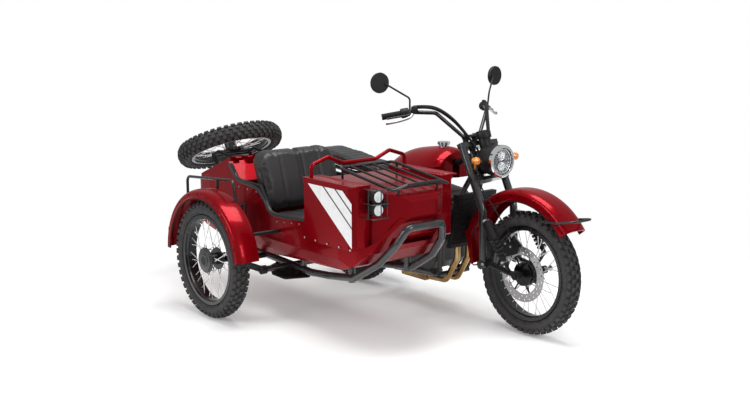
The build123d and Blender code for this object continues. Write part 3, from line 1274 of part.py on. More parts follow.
# Foot step beside the hull, hung from the chassis
step_wall = 8
step_z = 250
step_shares = ((0.376, -0.63), (0.466, -0.94), (0.542, -0.96), (0.569, -0.53), (0.513, -0.24), (0.341, -0.26))
with BuildPart() as step:
    corners = [on_car(x, side, 0) for x, side in step_shares]
    with BuildSketch(Plane.XY.offset(step_z)) as tread:
        with BuildLine():
            Polyline(*[(place.X, place.Y) for place in corners], close=True)
        make_face()
        fillet(tread.vertices(), step_wall * 3)
    extrude(tread.sketch, amount=-step_wall)
    for x_share in (0.42, 0.53):
        place = on_car(x_share, -0.64, 0.36)
        rod(Vector(place.X, place.Y, step_z - step_wall), place, step_wall)
    add(chassis.part, mode=Mode.SUBTRACT)
save(step, "side_step")
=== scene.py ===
# %% [markdown]
# # A sidecar motorcycle, dressed for the studio
# The CAD parts of this red outfit come in already in their places, so this lesson is about
# looks: paint, rubber, leather and chrome, and the small pieces that a maker bolts on last.
# Every piece is made in metres, in the frame of the CAD parts, so nothing has to be fitted.

# %% Load the CAD parts as a fixed frame
from math import cos, pi, radians, sin

import bmesh
import bpy
import numpy as np
from mathutils import Matrix, Vector


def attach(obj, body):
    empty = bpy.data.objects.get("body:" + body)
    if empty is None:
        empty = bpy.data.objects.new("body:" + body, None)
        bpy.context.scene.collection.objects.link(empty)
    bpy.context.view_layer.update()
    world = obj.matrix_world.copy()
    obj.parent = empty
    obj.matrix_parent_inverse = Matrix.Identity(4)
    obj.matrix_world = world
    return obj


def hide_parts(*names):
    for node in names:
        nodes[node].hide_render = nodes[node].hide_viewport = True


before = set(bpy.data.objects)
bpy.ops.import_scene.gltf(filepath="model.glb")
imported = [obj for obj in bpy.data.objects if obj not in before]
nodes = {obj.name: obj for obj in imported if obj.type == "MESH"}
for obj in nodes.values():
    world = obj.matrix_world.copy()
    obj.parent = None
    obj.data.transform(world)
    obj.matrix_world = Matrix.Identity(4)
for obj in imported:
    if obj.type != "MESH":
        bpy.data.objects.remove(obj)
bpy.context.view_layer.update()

# %% [markdown]

# %% [markdown]
# ## Small helpers for modelling by hand
# Blender's operators act on everything that is selected, and the loaded CAD parts arrive
# selected. So each piece starts from a clean selection, is shaped in edit mode, and ends with
# its place baked into its mesh. These helpers say just that.


# %% Start, settle and join
def start():
    """Nothing is selected, and Blender is in object mode."""
    if bpy.context.object and bpy.context.object.mode != "OBJECT":
        bpy.ops.object.mode_set(mode="OBJECT")
    bpy.ops.object.select_all(action="DESELECT")


def only(piece):
    start()
    piece.select_set(True)
    bpy.context.view_layer.objects.active = piece


def settle(piece, name=None):
    """Bakes the piece's place into its mesh, and names it."""
    only(piece)
    bpy.ops.object.transform_apply(location=True, rotation=True, scale=True)
    if name:
        piece.name = name
    return piece


def joined(pieces, name):
    """Several pieces become one object."""
    start()
    for piece in pieces:
        piece.select_set(True)
    bpy.context.view_layer.objects.active = pieces[0]
    if len(pieces) > 1:
        bpy.ops.object.join()
    return settle(pieces[0], name)


# %% [markdown]
# No real edge is perfectly sharp. A Bevel modifier rounds all edges that turn more than 40
# degrees, which is quicker than picking them, and the narrow faces catch the light. Smooth
# shading by angle then hides the facets of round faces and keeps the edges.


# %% Soft edges and smooth faces
def applied(piece):
    """All modifiers are applied in order."""
    only(piece)
    for modifier in list(piece.modifiers):
        bpy.ops.object.modifier_apply(modifier=modifier.name)
    return piece


def smooth(piece, angle=35):
    only(piece)
    bpy.ops.object.shade_smooth_by_angle(angle=radians(angle))
    return piece


def softened(piece, width, steps=2):
    bevel = piece.modifiers.new("edge", "BEVEL")
    bevel.width = width
    bevel.segments = steps
    bevel.limit_method = "ANGLE"
    bevel.angle_limit = radians(40)
    return applied(piece)


# %% [markdown]
# Bolts, tread blocks and rivets repeat, so each is modelled once and copied. A copy owns its
# mesh, because the pieces are joined afterwards. The turn that carries +Z onto a direction
# lets a piece be made standing up and then laid wherever it belongs.


# %% Copies and turns
def twin(piece, name, matrix):
    """A copy with its own mesh, moved by a matrix."""
    other = piece.copy()
    other.data = piece.data.copy()
    bpy.context.collection.objects.link(other)
    other.data.transform(matrix)
    if matrix.determinant() < 0:
        other.data.flip_normals()
    other.name = name
    return other


def toward(direction):
    """The turn that carries +Z onto a direction."""
    upright = Vector((0, 0, 1))
    return upright.rotation_difference(Vector(direction).normalized()).to_matrix().to_4x4()


# %% [markdown]
# Flat things such as lids, fins and tread blocks start from a cube that is pressed to its three
# sizes in edit mode. The next tool needs only some of the faces, so they are picked by the way
# they face, as one would click them.


# %% A pressed cube, and picked faces
def pressed_cube(size, place=(0, 0, 0)):
    """A cube pressed to its sizes about its own middle. Edit mode stays open."""
    start()
    bpy.ops.mesh.primitive_cube_add(size=1, location=place)
    bpy.ops.object.mode_set(mode="EDIT")
    bpy.ops.transform.resize(value=size)
    return bpy.context.object


def pick_faces(piece, wanted):
    """In edit mode, only the faces that pass the test are selected."""
    bpy.ops.mesh.select_all(action="DESELECT")
    mesh = bmesh.from_edit_mesh(piece.data)
    for face in mesh.faces:
        face.select_set(wanted(face))
    bmesh.update_edit_mesh(piece.data)


# %% [markdown]
# Caps, lamp rims, bolts and dials are all lathe work: a short cylinder whose end face is inset
# and pushed, again and again, as a lathe tool would step in. Spinning a drawn section would do
# too, but a list of cuts is shorter to write and to change, so one helper takes that list.


# %% A stepped piece, as from a lathe
def stepped(name, place, direction, radius, depth, cuts=(), sides=32, edge=0.0006):
    start()
    bpy.ops.mesh.primitive_cylinder_add(vertices=sides, radius=radius, depth=depth,
                                        location=(0, 0, depth / 2))
    piece = bpy.context.object
    bpy.ops.object.transform_apply(location=True, rotation=False, scale=False)
    bpy.ops.object.mode_set(mode="EDIT")
    pick_faces(piece, lambda face: face.normal.z > 0.9)
    for kind, amount in cuts:
        if kind == "inset":
            bpy.ops.mesh.inset(thickness=amount)
        else:
            bpy.ops.mesh.extrude_region_move(TRANSFORM_OT_translate={"value": (0, 0, amount)})
    bpy.ops.object.mode_set(mode="OBJECT")
    if edge:
        softened(piece, edge)
    piece.data.transform(Matrix.Translation(Vector(place)) @ toward(direction))
    smooth(piece)
    piece.name = name
    return piece


# %% [markdown]
# Cables, hoses, wire stays and levers are bent round stock. A curve with a round bevel follows
# the few points that a fitter would fix, and then becomes a mesh like the rest. Extruding a
# circle from bend to bend would need many more steps for the same run.


# %% A bent bar or hose
def bent(name, points, radius, sides=3, taper=None):
    curve = bpy.data.curves.new(name, "CURVE")
    curve.dimensions = "3D"
    curve.bevel_depth = radius
    curve.bevel_resolution = sides
    curve.resolution_u = 8
    curve.use_fill_caps = True
    line = curve.splines.new("NURBS")
    line.points.add(len(points) - 1)
    for i, point in enumerate(points):
        line.points[i].co = (*point, 1)
        if taper:
            line.points[i].radius = taper[i]
    line.order_u = 3
    line.use_endpoint_u = True
    piece = bpy.data.objects.new(name, curve)
    bpy.context.collection.objects.link(piece)
    only(piece)
    bpy.ops.object.convert(target="MESH")
    return smooth(bpy.context.object, 60)


# %% [markdown]
# ## Finishes
# Materials are built from shader nodes. Wiring them by hand takes a line for each number and
# each wire, so one helper makes a node and feeds it: a number goes on the input itself, and
# another node's socket becomes a wire to it.


# %% A shader node and what feeds it
def feed(tree, node, feeds):
    for place, value in feeds.items():
        if isinstance(value, bpy.types.NodeSocket):
            tree.links.new(value, node.inputs[place])
        else:
            node.inputs[place].default_value = value


def shader_node(tree, kind, feeds=None, **settings):
    node = tree.nodes.new(f"ShaderNode{kind}")
    for setting, value in settings.items():
        setattr(node, setting, value)
    feed(tree, node, feeds or {})
    return node


# %% [markdown]
# A painted, cast or moulded surface is never one flat colour. Each finish below varies its
# colour and its gloss a little with noise on Object coordinates, and adds a fine bump, so a
# CAD part and a hand-made piece of the same stuff match. Coat and sheen stay plain numbers.

# %% One finish from a few numbers
cloud_low = 0.3
cloud_high = 0.7


def finish(name, colour, metallic=0.0, roughness=0.4, vary=0.15, scale=18.0, rough_vary=0.08,
           bump=0.05, bump_scale=300.0, coat=0.0, coat_roughness=0.05, sheen=0.0, specular=0.5):
    material = bpy.data.materials.new(name)
    material.use_nodes = True
    tree = material.node_tree
    shader = tree.nodes["Principled BSDF"]
    feed(tree, shader, {"Metallic": metallic, "Coat Weight": coat, "Coat Roughness": coat_roughness,
                        "Sheen Weight": sheen, "Specular IOR Level": specular})
    here = shader_node(tree, "TexCoord").outputs["Object"]
    cloud = shader_node(tree, "TexNoise", {"Scale": scale, "Detail": 5, "Vector": here})
    shade = shader_node(tree, "ValToRGB", {"Fac": cloud.outputs["Fac"]})
    dark, light = shade.color_ramp.elements
    dark.position = cloud_low
    light.position = cloud_high
    dark.color = (*[c * (1 - vary) for c in colour], 1)
    light.color = (*[min(1, c * (1 + vary)) for c in colour], 1)
    gloss = shader_node(tree, "MapRange", {
        "Value": cloud.outputs["Fac"], "From Min": cloud_low, "From Max": cloud_high,
        "To Min": max(0.02, roughness - rough_vary), "To Max": min(1, roughness + rough_vary)})
    feed(tree, shader, {"Base Color": shade.outputs["Color"], "Roughness": gloss.outputs["Result"]})
    if bump:
        grain = shader_node(tree, "TexNoise", {"Scale": bump_scale, "Detail": 3, "Vector": here})
        relief = shader_node(tree, "Bump", {"Strength": bump, "Distance": 0.001,
                                            "Height": grain.outputs["Fac"]})
        feed(tree, shader, {"Normal": relief.outputs["Normal"]})
    print("finish", name)
    return material


# %% [markdown]
# The candy red is a dark red with fine metal flake under a clear coat. The flake is a very
# small Voronoi pattern that lightens single grains, which shows as a sparkle up close. A noise
# would only cloud the red, because it has no grains.

# %% Candy red, with flake under a clear coat
candy_red = finish("candy_red", (0.235, 0.0011, 0.0055), metallic=0.5, roughness=0.25, vary=0.1,
                   scale=3, rough_vary=0.03, bump=0, coat=0.18, coat_roughness=0.03, specular=0.03)
tree = candy_red.node_tree
here = tree.nodes["Texture Coordinate"].outputs["Object"]
flake = shader_node(tree, "TexVoronoi", {"Scale": 900, "Vector": here})
grains = shader_node(tree, "MapRange", {"Value": flake.outputs["Distance"], "From Max": 0.9,
                                        "To Min": 1.45, "To Max": 0.75})
sparkle = shader_node(tree, "VectorMath", {0: tree.nodes["Color Ramp"].outputs["Color"],
                                           "Scale": grains.outputs["Result"]}, operation="SCALE")
feed(tree, tree.nodes["Principled BSDF"], {"Base Color": sparkle.outputs["Vector"]})

# %% [markdown]
# Black parts are not all alike: powder coat is satin, moulded plastic has a leather-like grain,
# and the bumper tube of the chair is a glossy dark grey. The tyres are a dusty dark grey.
# Finishes that differ in gloss and grain tell them apart better than shades of black would.

# %% Blacks, greys and rubber
black_gloss = finish("black_gloss", (0.006, 0.006, 0.007), roughness=0.28, coat=0.4, bump=0.03,
                     specular=0.35)
black_satin = finish("black_satin", (0.008, 0.008, 0.009), roughness=0.45, bump=0.12,
                     bump_scale=500, specular=0.3)
black_plastic = finish("black_plastic", (0.009, 0.009, 0.01), roughness=0.5, bump=0.2,
                       bump_scale=700, specular=0.3)
grey_gloss = finish("grey_gloss", (0.026, 0.027, 0.03), metallic=0.3, roughness=0.3, coat=0.7,
                    bump=0.02)
rubber = finish("rubber", (0.009, 0.009, 0.009), roughness=0.72, vary=0.25, bump=0.3,
                bump_scale=450, specular=0.25)
tyre_black = finish("tyre_black", (0.05, 0.048, 0.049), roughness=0.8, vary=0.3, scale=30,
                    bump=0.25, bump_scale=260, specular=0.25)

# %% [markdown]
# Bare metals differ in polish. Cast pieces keep the grain of the mould, which the bump gives,
# and chrome has none. The lamp's bowl is a dark mirror, because it reflects the dark inside of
# its own shell more than the room.

# %% Metals
chrome = finish("chrome", (0.82, 0.83, 0.84), metallic=1.0, roughness=0.09, vary=0.03,
                rough_vary=0.03, bump=0)
steel = finish("steel", (0.55, 0.55, 0.56), metallic=1.0, roughness=0.3, vary=0.12, bump=0.04)
cast_alloy = finish("cast_alloy", (0.085, 0.087, 0.092), metallic=0.7, roughness=0.42, vary=0.2,
                    bump=0.3, bump_scale=380)
bright_alloy = finish("bright_alloy", (0.5, 0.51, 0.52), metallic=1.0, roughness=0.35, vary=0.12,
                      bump=0.15, bump_scale=400)
dark_mirror = finish("dark_mirror", (0.16, 0.165, 0.175), metallic=1.0, roughness=0.16, vary=0.05,
                     bump=0)

# %% [markdown]
# The stripes are a white lacquer with thin black lines. Moulded lenses are coloured all the way
# through and scatter light, so they are glossy and opaque here, with a fine relief for their
# ribs. Real transparency would show an empty housing behind them.

# %% Lacquers, lenses and mirror glass
white_paint = finish("white_paint", (0.86, 0.86, 0.87), roughness=0.3, vary=0.02, bump=0, coat=0.6)
thin_black = finish("thin_black", (0.01, 0.01, 0.012), roughness=0.35, vary=0.05, bump=0, coat=0.4)
white_lens = finish("white_lens", (0.88, 0.9, 0.92), roughness=0.12, vary=0.04, scale=60,
                    bump=0.3, bump_scale=180, coat=0.8)
amber = finish("amber", (0.85, 0.24, 0.01), roughness=0.15, vary=0.15, scale=90, bump=0.4,
               bump_scale=160, coat=1.0)
red_lens = finish("red_lens", (0.42, 0.01, 0.01), roughness=0.15, vary=0.2, scale=90, bump=0.4,
                  bump_scale=160, coat=1.0)
mirror_glass = finish("mirror_glass", (0.75, 0.78, 0.8), metallic=1.0, roughness=0.03, vary=0.01,
                      rough_vary=0.01, bump=0)

# %% [markdown]
# The header pipes have gone golden brown with heat, in soft bands. A slow noise picks colours
# from straw to bronze along a ramp, so no two bends are tinted alike. The headlamp's glass is
# the one clear piece, since its reflector is modelled and should be seen.

# %% Heat-tinted pipes, and clear lamp glass
golden_pipe = finish("golden_pipe", (0.4, 0.26, 0.12), metallic=1.0, roughness=0.27, scale=7,
                     bump=0.05)
tints = golden_pipe.node_tree.nodes["Color Ramp"].color_ramp.elements
tints[0].color = (0.24, 0.13, 0.06, 1)
tints[1].color = (0.55, 0.4, 0.2, 1)
tints.new(0.5).color = (0.4, 0.24, 0.09, 1)

clear_glass = finish("clear_glass", (0.95, 0.97, 0.98), roughness=0.03, vary=0.01,
                     rough_vary=0.01, bump=0)
tree = clear_glass.node_tree
feed(tree, tree.nodes["Principled BSDF"], {"Transmission Weight": 0.95, "IOR": 1.3})

# %% [markdown]
# Leather has a pebble grain. Voronoi cells give the pebbles and their creases, which plain
# noise can't, and the wide noise of the finish lets some patches of a panel shine a little
# more than others.

# %% Leather
leather = finish("leather", (0.011, 0.0095, 0.0105), roughness=0.42, vary=0.2, scale=9,
                 rough_vary=0.09, bump=0, sheen=0.04, specular=0.5)
tree = leather.node_tree
here = tree.nodes["Texture Coordinate"].outputs["Object"]
pebble = shader_node(tree, "TexVoronoi", {"Scale": 330, "Vector": here})
creases = shader_node(tree, "Bump", {"Strength": 0.28, "Distance": 0.0012,
                                     "Height": pebble.outputs["Distance"]})
feed(tree, tree.nodes["Principled BSDF"], {"Normal": creases.outputs["Normal"]})

# %% [markdown]
# A wire wheel's hub is one CAD part with its spokes. The real hub shell is black and the
# spokes are bright, so the finish asks how far a point is from the axle: near it is the black
# shell, beyond it the spokes. A Mapping node centres the question on each wheel. The front
# brake disc has a dark carrier and a bright face, which the same finish tells apart.

# %% Dark near the axle, bright beyond
shell_black = (0.03, 0.03, 0.032, 1)
soft_step = 0.004


def spoke_finish(name, centre, turn=(0, 0, 0), shell=0.082, colour=(0.82, 0.82, 0.83),
                 metallic=0.35):
    material = finish(name, colour, metallic=metallic, roughness=0.25, vary=0.06, bump=0)
    tree = material.node_tree
    here = tree.nodes["Texture Coordinate"].outputs["Object"]
    centred = shader_node(tree, "Mapping", {"Location": centre, "Rotation": turn, "Vector": here},
                          vector_type="TEXTURE")
    flat = shader_node(tree, "VectorMath", {0: centred.outputs["Vector"], 1: (1, 0, 1)},
                       operation="MULTIPLY")
    reach = shader_node(tree, "VectorMath", {0: flat.outputs["Vector"]}, operation="LENGTH")
    outside = shader_node(tree, "MapRange", {"Value": reach.outputs["Value"], "From Min": shell,
                                             "From Max": shell + soft_step})
    blend = shader_node(tree, "Mix", {"Factor": outside.outputs["Result"], "A": shell_black,
                                      "B": tree.nodes["Color Ramp"].outputs["Color"]},
                        data_type="RGBA")
    feed(tree, tree.nodes["Principled BSDF"], {"Base Color": blend.outputs["Result"]})
    return material


# %% [markdown]
# ## Dressing the CAD parts
# A CAD part whose shape is right keeps it and only changes its finish. The table says which
# part gets which; a node's own slot is filled, so its mesh is never touched.

# %% Which finish goes on which CAD part
dress = {
    candy_red: ["fuel_tank", "front_fender", "rear_fender", "side_fender", "hull", "cowl",
                "cowl_boxes", "boot_lid", "grab_rail"],
    black_gloss: ["frame", "muffler", "handlebar", "luggage_rack", "front_rim", "rear_rim",
                  "side_rim", "spare_rim", "fender_rail", "fender_loop"],
    black_satin: ["leading_links", "swing_arm", "spare_carrier", "side_suspension",
                  "brake_calliper", "rear_shocks", "front_shocks"],
    black_plastic: ["side_covers", "radiator", "headlamp_shell", "instrument", "spot_lamps",
                    "mirrors"],
    grey_gloss: ["side_chassis", "fork", "lamp_guard"],
    rubber: ["grips", "foot_pegs", "cockpit_trim", "side_step"],
    chrome: ["headlamp_ring", "fuel_cap"],
    steel: ["chain"],
    cast_alloy: ["engine"],
    golden_pipe: ["exhaust_pipes"],
    amber: ["indicators", "fender_lamp"],
    red_lens: ["tail_lamp"],
    clear_glass: ["headlamp_lens"],
    tyre_black: ["front_tyre", "rear_tyre", "side_tyre", "spare_tyre"],
    leather: ["seat_base", "seat_back", "saddle"],
}


def wear(name, material):
    node = nodes[name]
    if node.material_slots:
        for one in node.material_slots:
            one.material = material
    else:
        node.data.materials.append(material)


for material, names in dress.items():
    for name in names:
        wear(name, material)
    print(material.name, "on", ", ".join(names))


# %% [markdown]
# A new piece needs two things besides its shape: a finish, and the CAD body that it moves
# with. Where it takes the place of a CAD part, it says so, and the CAD part is hidden.


# %% Adding a piece to the part
def add_piece(piece, body, material, slot, *stands_for):
    """A new piece gets its finish and rides on a CAD body."""
    piece.data.materials.clear()
    piece.data.materials.append(material)
    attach(piece, body)
    if stands_for:
        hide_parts(*stands_for)
    print(piece.name, "rides on", body, "with", len(piece.data.polygons), "faces")
    return piece


# %% [markdown]
# ## Places that many pieces share
# The origin is under the middle of the whole outfit, so the motorcycle's own middle plane lies
# to its left. That plane and the axles' places are written once, and points on the two sides
# of the motorcycle come from one helper, so that left and right can't differ.

# %% Middle planes and axles
bike_y = 0.36501
side_wheel_y = -0.78499
axle_height = 0.33
front_axle_x = 0.97505
rear_axle_x = -0.49495
side_axle_x = -0.34495
side_words = {-1: "right", 1: "left"}


def beside(side, x, out, z):
    """A point out from the motorcycle's middle, to the right (-1) or the left (1)."""
    return Vector((x, bike_y + side * out, z))


# %% [markdown]
# ## The steering head
# On the real machine the top yoke sits low, half hidden by the lamp's shell. Copies of three
# CAD parts slide down along the steering axis above the lower yoke: the legs shorten, the yoke
# keeps its thickness, and the bars keep their grips where they are. Moving the points of a
# copy keeps all the CAD detail, which modelling the head again would lose.

# %% Parts slid down along the steering axis
steer_lean = 0.5095
yoke_drop = 0.057
frame_head_drop = yoke_drop - 0.002
bar_drop = 0.023


def between(value, low, high):
    """How far a value is on its way from low to high, from 0 to 1."""
    return min(1, max(0, (value - low) / (high - low)))


def slid(name, body, material, slot, drop):
    """A copy of a CAD part whose points slide down by what drop says for their place."""
    piece = settle(twin(nodes[name], f"{name}_lowered", Matrix.Identity(4)))
    for v in piece.data.vertices:
        fall = drop(v.co)
        v.co += Vector((fall * steer_lean, 0, -fall))
    piece.data.update()
    add_piece(piece, body, material, slot, name)


slid("fork", "steering", grey_gloss, "grey_tube",
     lambda p: yoke_drop * between(p.z, 0.8, 0.985))
slid("frame", "root", black_gloss, "black_paint",
     lambda p: frame_head_drop * between(p.z, 0.93, 0.96))
slid("handlebar", "steering", black_gloss, "black_paint",
     lambda p: bar_drop * between(abs(p.y - bike_y), 0.16, 0.06))

# %% [markdown]
# Two stout risers lift the bars off the yoke. Each is a short piece of round bar, leaned with
# the steering axis, so three points and the bent-bar helper are all it needs.

# %% Bar risers
riser_out = 0.034
risers = []
for side in side_words:
    risers.append(bent("riser", [beside(side, 0.5085, riser_out, 0.955),
                                 beside(side, 0.5055, riser_out, 0.985),
                                 beside(side, 0.5035, riser_out, 1.012)], 0.0165, 5))
add_piece(joined(risers, "bar_risers"), "steering", black_satin, "black_paint")

# %% [markdown]
# ## Wheels
# The four wheels share one size. Each centre and axle is read from its CAD tyre: the middle of
# the box, and the direction in which the ring's points spread least. Typing the numbers would
# do for three wheels, but the spare lies on a slant.

# %% Centres and axles of the four tyres
wheel_bodies = {"front": "front_wheel", "rear": "rear_wheel", "side": "side_wheel",
                "spare": "boot_lid"}
leftish = Vector((0, 1, 0.2))
wheels = {}
for wheel in wheel_bodies:
    points = np.array([v.co for v in nodes[f"{wheel}_tyre"].data.vertices])
    centre = (points.min(0) + points.max(0)) / 2
    ways = np.linalg.eigh(np.cov((points - centre).T))[1]
    axle = Vector(ways[:, 0])
    if axle.dot(leftish) < 0:
        axle = -axle
    wheels[wheel] = (Vector(centre), axle.normalized())
    print(wheel, "wheel at", [round(c, 3) for c in centre], "axle", [round(a, 3) for a in axle])

# %% [markdown]
# With the centres known, each hub gets its own finish of black shell and bright spokes, and
# the front disc gets its bright face outside a dark carrier.

# %% Hubs and the brake disc
for wheel, (centre, axle) in wheels.items():
    turn = Vector((0, 1, 0)).rotation_difference(axle).to_euler()
    wear(f"{wheel}_hub", spoke_finish(f"{wheel}_spokes", centre, turn))
disc_carrier = 0.101
wear("front_disc", spoke_finish("disc_face", wheels["front"][0], (0, 0, 0), disc_carrier,
                                (0.42, 0.42, 0.43), 0.9))

# %% [markdown]
# The tyres are trail tyres with chunky blocks. The carcass could be a section spun about the
# axle, but a torus pressed flatter gives the same round section in one step. It is made lying
# flat at the origin, and every wheel gets a copy later.

# %% The carcass of a tyre, about +Z at the origin
tyre_outer = 0.33
block_height = 0.012
section_radial = 0.0355
section_half = 0.0475
section_centre = tyre_outer - block_height - section_radial
start()
bpy.ops.mesh.primitive_torus_add(major_radius=section_centre, minor_radius=section_radial,
                                 major_segments=112, minor_segments=28)
carcass = bpy.context.object
bpy.ops.object.mode_set(mode="EDIT")
bpy.ops.mesh.select_all(action="SELECT")
bpy.ops.transform.resize(value=(1, 1, section_half / section_radial))
bpy.ops.object.mode_set(mode="OBJECT")
smooth(carcass, 60)

# %% [markdown]
# A tyre's flank carries fine rings where the mould parts meet. They could be a bump, but real
# rings stay sharp up close: three thin hoops on each flank catch the light as they do.

# %% Rings on the flanks
hoops = []
for radius, height, wire in ((0.272, 0.0445, 0.0018), (0.262, 0.0405, 0.0025),
                             (0.297, 0.0425, 0.0012)):
    for side in side_words:
        start()
        bpy.ops.mesh.primitive_torus_add(major_radius=radius, minor_radius=wire,
                                         major_segments=96, minor_segments=8,
                                         location=(0, 0, side * height))
        hoops.append(smooth(settle(bpy.context.object), 60))

# %% [markdown]
# One tread block starts from a pressed cube. Its outer face is drawn in a little so that the
# flanks slope, as rubber must to leave its mould, and an inset dishes the top. A block has few
# faces, because it is copied hundreds of times.


# %% One tread block
def tread_block(length, width, height):
    block = pressed_cube((height * 2, length, width))
    pick_faces(block, lambda face: face.normal.x > 0.9)
    bpy.ops.transform.resize(value=(1, 0.84, 0.84))
    bpy.ops.mesh.inset(thickness=0.0028)
    bpy.ops.transform.translate(value=(-0.0011, 0, 0))
    bpy.ops.object.mode_set(mode="OBJECT")
    return softened(block, 0.0009, 1)


centre_block = tread_block(0.0235, 0.0205, block_height)
inner_block = tread_block(0.021, 0.0165, block_height)
shoulder_block = tread_block(0.027, 0.016, block_height)

# %% [markdown]
# The blocks stand round the tread in five staggered rows, each copy with its own mesh. A row
# further out sits lower on the round carcass and tilts with it, down to the shoulder.

# %% Blocks round the tread
pitch_count = 46
rows = (
    (centre_block, 0.0, 0.0, 0),
    (inner_block, 0.0222, 0.5, 13),
    (inner_block, -0.0222, 0.5, -13),
    (shoulder_block, 0.0388, 0.0, 38),
    (shoulder_block, -0.0388, 0.0, -38),
)
blocks = []
for block, across, phase, tilt in rows:
    share = across / section_half
    foot = section_centre + section_radial * (1 - share * share) ** 0.5
    seat = Matrix.Translation((foot, 0, across)) @ Matrix.Rotation(radians(-tilt), 4, "Y")
    for number in range(pitch_count):
        turn = Matrix.Rotation(2 * pi * (number + phase) / pitch_count, 4, "Z")
        blocks.append(twin(block, "block", turn @ seat))
for block in (centre_block, inner_block, shoulder_block):
    bpy.data.objects.remove(block)
tyre_form = joined([carcass, *hoops, *blocks], "tyre_form")
print("one tyre has", len(tyre_form.data.polygons), "faces")

# %% [markdown]
# The finished tyre is copied to each wheel, turned onto its axle, and takes the place of the
# plain CAD tyre. The spare rides on the boot lid, which carries it.

# %% A tyre for each wheel
for wheel, (centre, axle) in wheels.items():
    tyre = twin(tyre_form, f"{wheel}_tread", Matrix.Translation(centre) @ toward(axle))
    add_piece(tyre, wheel_bodies[wheel], tyre_black, "tyre_rubber", f"{wheel}_tyre")
bpy.data.objects.remove(tyre_form)

# %% [markdown]
# Spoke nipples are the small bright heads that ring the rim's inner face, where each spoke is
# tightened. One is turned as a lathe piece and copied round, leaning to either side by turns.

# %% Spoke nipples
nipple = stepped("nipple", (0, 0, 0), (-1, 0, 0), 0.0036, 0.009,
                 (("inset", 0.0012), ("push", 0.004)), 8, 0)
nipple_count = 36
nipple_ring = 0.2455
for wheel, (centre, axle) in wheels.items():
    ring = []
    for number in range(nipple_count):
        turn = Matrix.Rotation(2 * pi * (number + 0.5) / nipple_count, 4, "Z")
        seat = Matrix.Translation((nipple_ring, 0, 0.008 * (-1) ** number))
        ring.append(twin(nipple, "nipple", turn @ seat))
    ring = joined(ring, f"{wheel}_nipples")
    ring.data.transform(Matrix.Translation(centre) @ toward(axle))
    add_piece(ring, wheel_bodies[wheel], chrome, "hub_alloy")
bpy.data.objects.remove(nipple)

# %% [markdown]
# ## Padded leather
# Each seat pad starts from its CAD solid. Sculpting a soft pad by hand is slow, so the copy is
# remeshed evenly, drawn in a little, and later blown up, and keeps its place in the seat.


# %% A pad's even skin, a little inside its CAD solid
def even_skin(name, node, shrink, voxel, rounds):
    piece = twin(nodes[node], name, Matrix.Identity(4))
    piece.parent = None
    piece.hide_render = False
    piece.hide_viewport = False
    only(piece)
    bpy.ops.object.mode_set(mode="EDIT")
    bpy.ops.mesh.select_all(action="SELECT")
    bpy.ops.mesh.remove_doubles(threshold=0.00002)
    bpy.ops.object.mode_set(mode="OBJECT")
    even = piece.modifiers.new("even", "REMESH")
    even.mode = "VOXEL"
    even.voxel_size = voxel
    round_off = piece.modifiers.new("round", "SMOOTH")
    round_off.factor = 0.5
    round_off.iterations = rounds
    applied(piece)
    normals = [v.normal.copy() for v in piece.data.vertices]
    for vertex, normal in zip(piece.data.vertices, normals):
        vertex.co -= normal * shrink
    return piece


# %% [markdown]
# Foam pushes leather outwards. Cloth with pressure and no gravity does the same, so the sides
# crown and the corners pull in, as a plain bevel never shows. A cap on how far a point may
# move keeps the pad inside its place.

# %% Blown up as cloth
air_frames = 20


def blow_up(piece, cap):
    before = np.array([v.co for v in piece.data.vertices])
    cloth = piece.modifiers.new("air", "CLOTH")
    cloth.settings.use_pressure = True
    cloth.settings.uniform_pressure_force = 4
    cloth.settings.effector_weights.gravity = 0
    cloth.settings.quality = 5
    cloth.point_cache.frame_end = air_frames
    for number in range(1, air_frames + 1):
        bpy.context.scene.frame_set(number)
    applied(piece)
    bpy.context.scene.frame_set(1)
    move = np.array([v.co for v in piece.data.vertices]) - before
    size = np.linalg.norm(move, axis=1, keepdims=True)
    capped = before + move * np.minimum(1, cap / np.maximum(size, 1e-9))
    for vertex, place in zip(piece.data.vertices, capped):
        vertex.co = place


# %% [markdown]
# The sewn channels come last, because a remesh would fill them. Each is a soft groove across
# the pad with the section of a bell curve, pressed along the skin's own normals, and it fades
# on the ends that face along the row of channels.

# %% Sewn channels, and the whole pad
bell_base = 2.718


def pad(name, node, grooves, way, cap=0.012, shrink=0.009, voxel=0.008, rounds=14):
    piece = even_skin(name, node, shrink, voxel, rounds)
    blow_up(piece, cap)
    finer = piece.modifiers.new("finer", "SUBSURF")
    finer.levels = finer.render_levels = 1
    applied(piece)
    normals = [v.normal.copy() for v in piece.data.vertices]
    for vertex, normal in zip(piece.data.vertices, normals):
        press = sum(depth * bell_base ** (-(((vertex.co[way] - line) / width) ** 2))
                    for line, depth, width in grooves)
        vertex.co -= normal * press * max(0, 1 - abs(normal[way]) * 1.6)
    return smooth(piece, 60)


# %% [markdown]
# The passenger's back rest and seat have a deep seam in the middle and a shallow one on each
# side. The rider's saddle has nine cross seams. A groove is its place, depth and width.

# %% The three pads
back_pad = pad("seat_back_pad", "seat_back",
               ((-0.238, 0.013, 0.013), (-0.37, 0.004, 0.007), (-0.11, 0.004, 0.007)), 1)
base_pad = pad("seat_base_pad", "seat_base",
               ((-0.24, 0.007, 0.008), (-0.33, 0.005, 0.007), (-0.15, 0.005, 0.007)), 1)
saddle_seams = tuple((-0.27 - 0.055 * i, 0.003, 0.006) for i in range(9))
saddle_pad = pad("saddle_pad", "saddle", saddle_seams, 0, voxel=0.007, rounds=8)
for piece, node in ((back_pad, "seat_back"), (base_pad, "seat_base"), (saddle_pad, "saddle")):
    add_piece(piece, "root", leather, "black_leather", node)

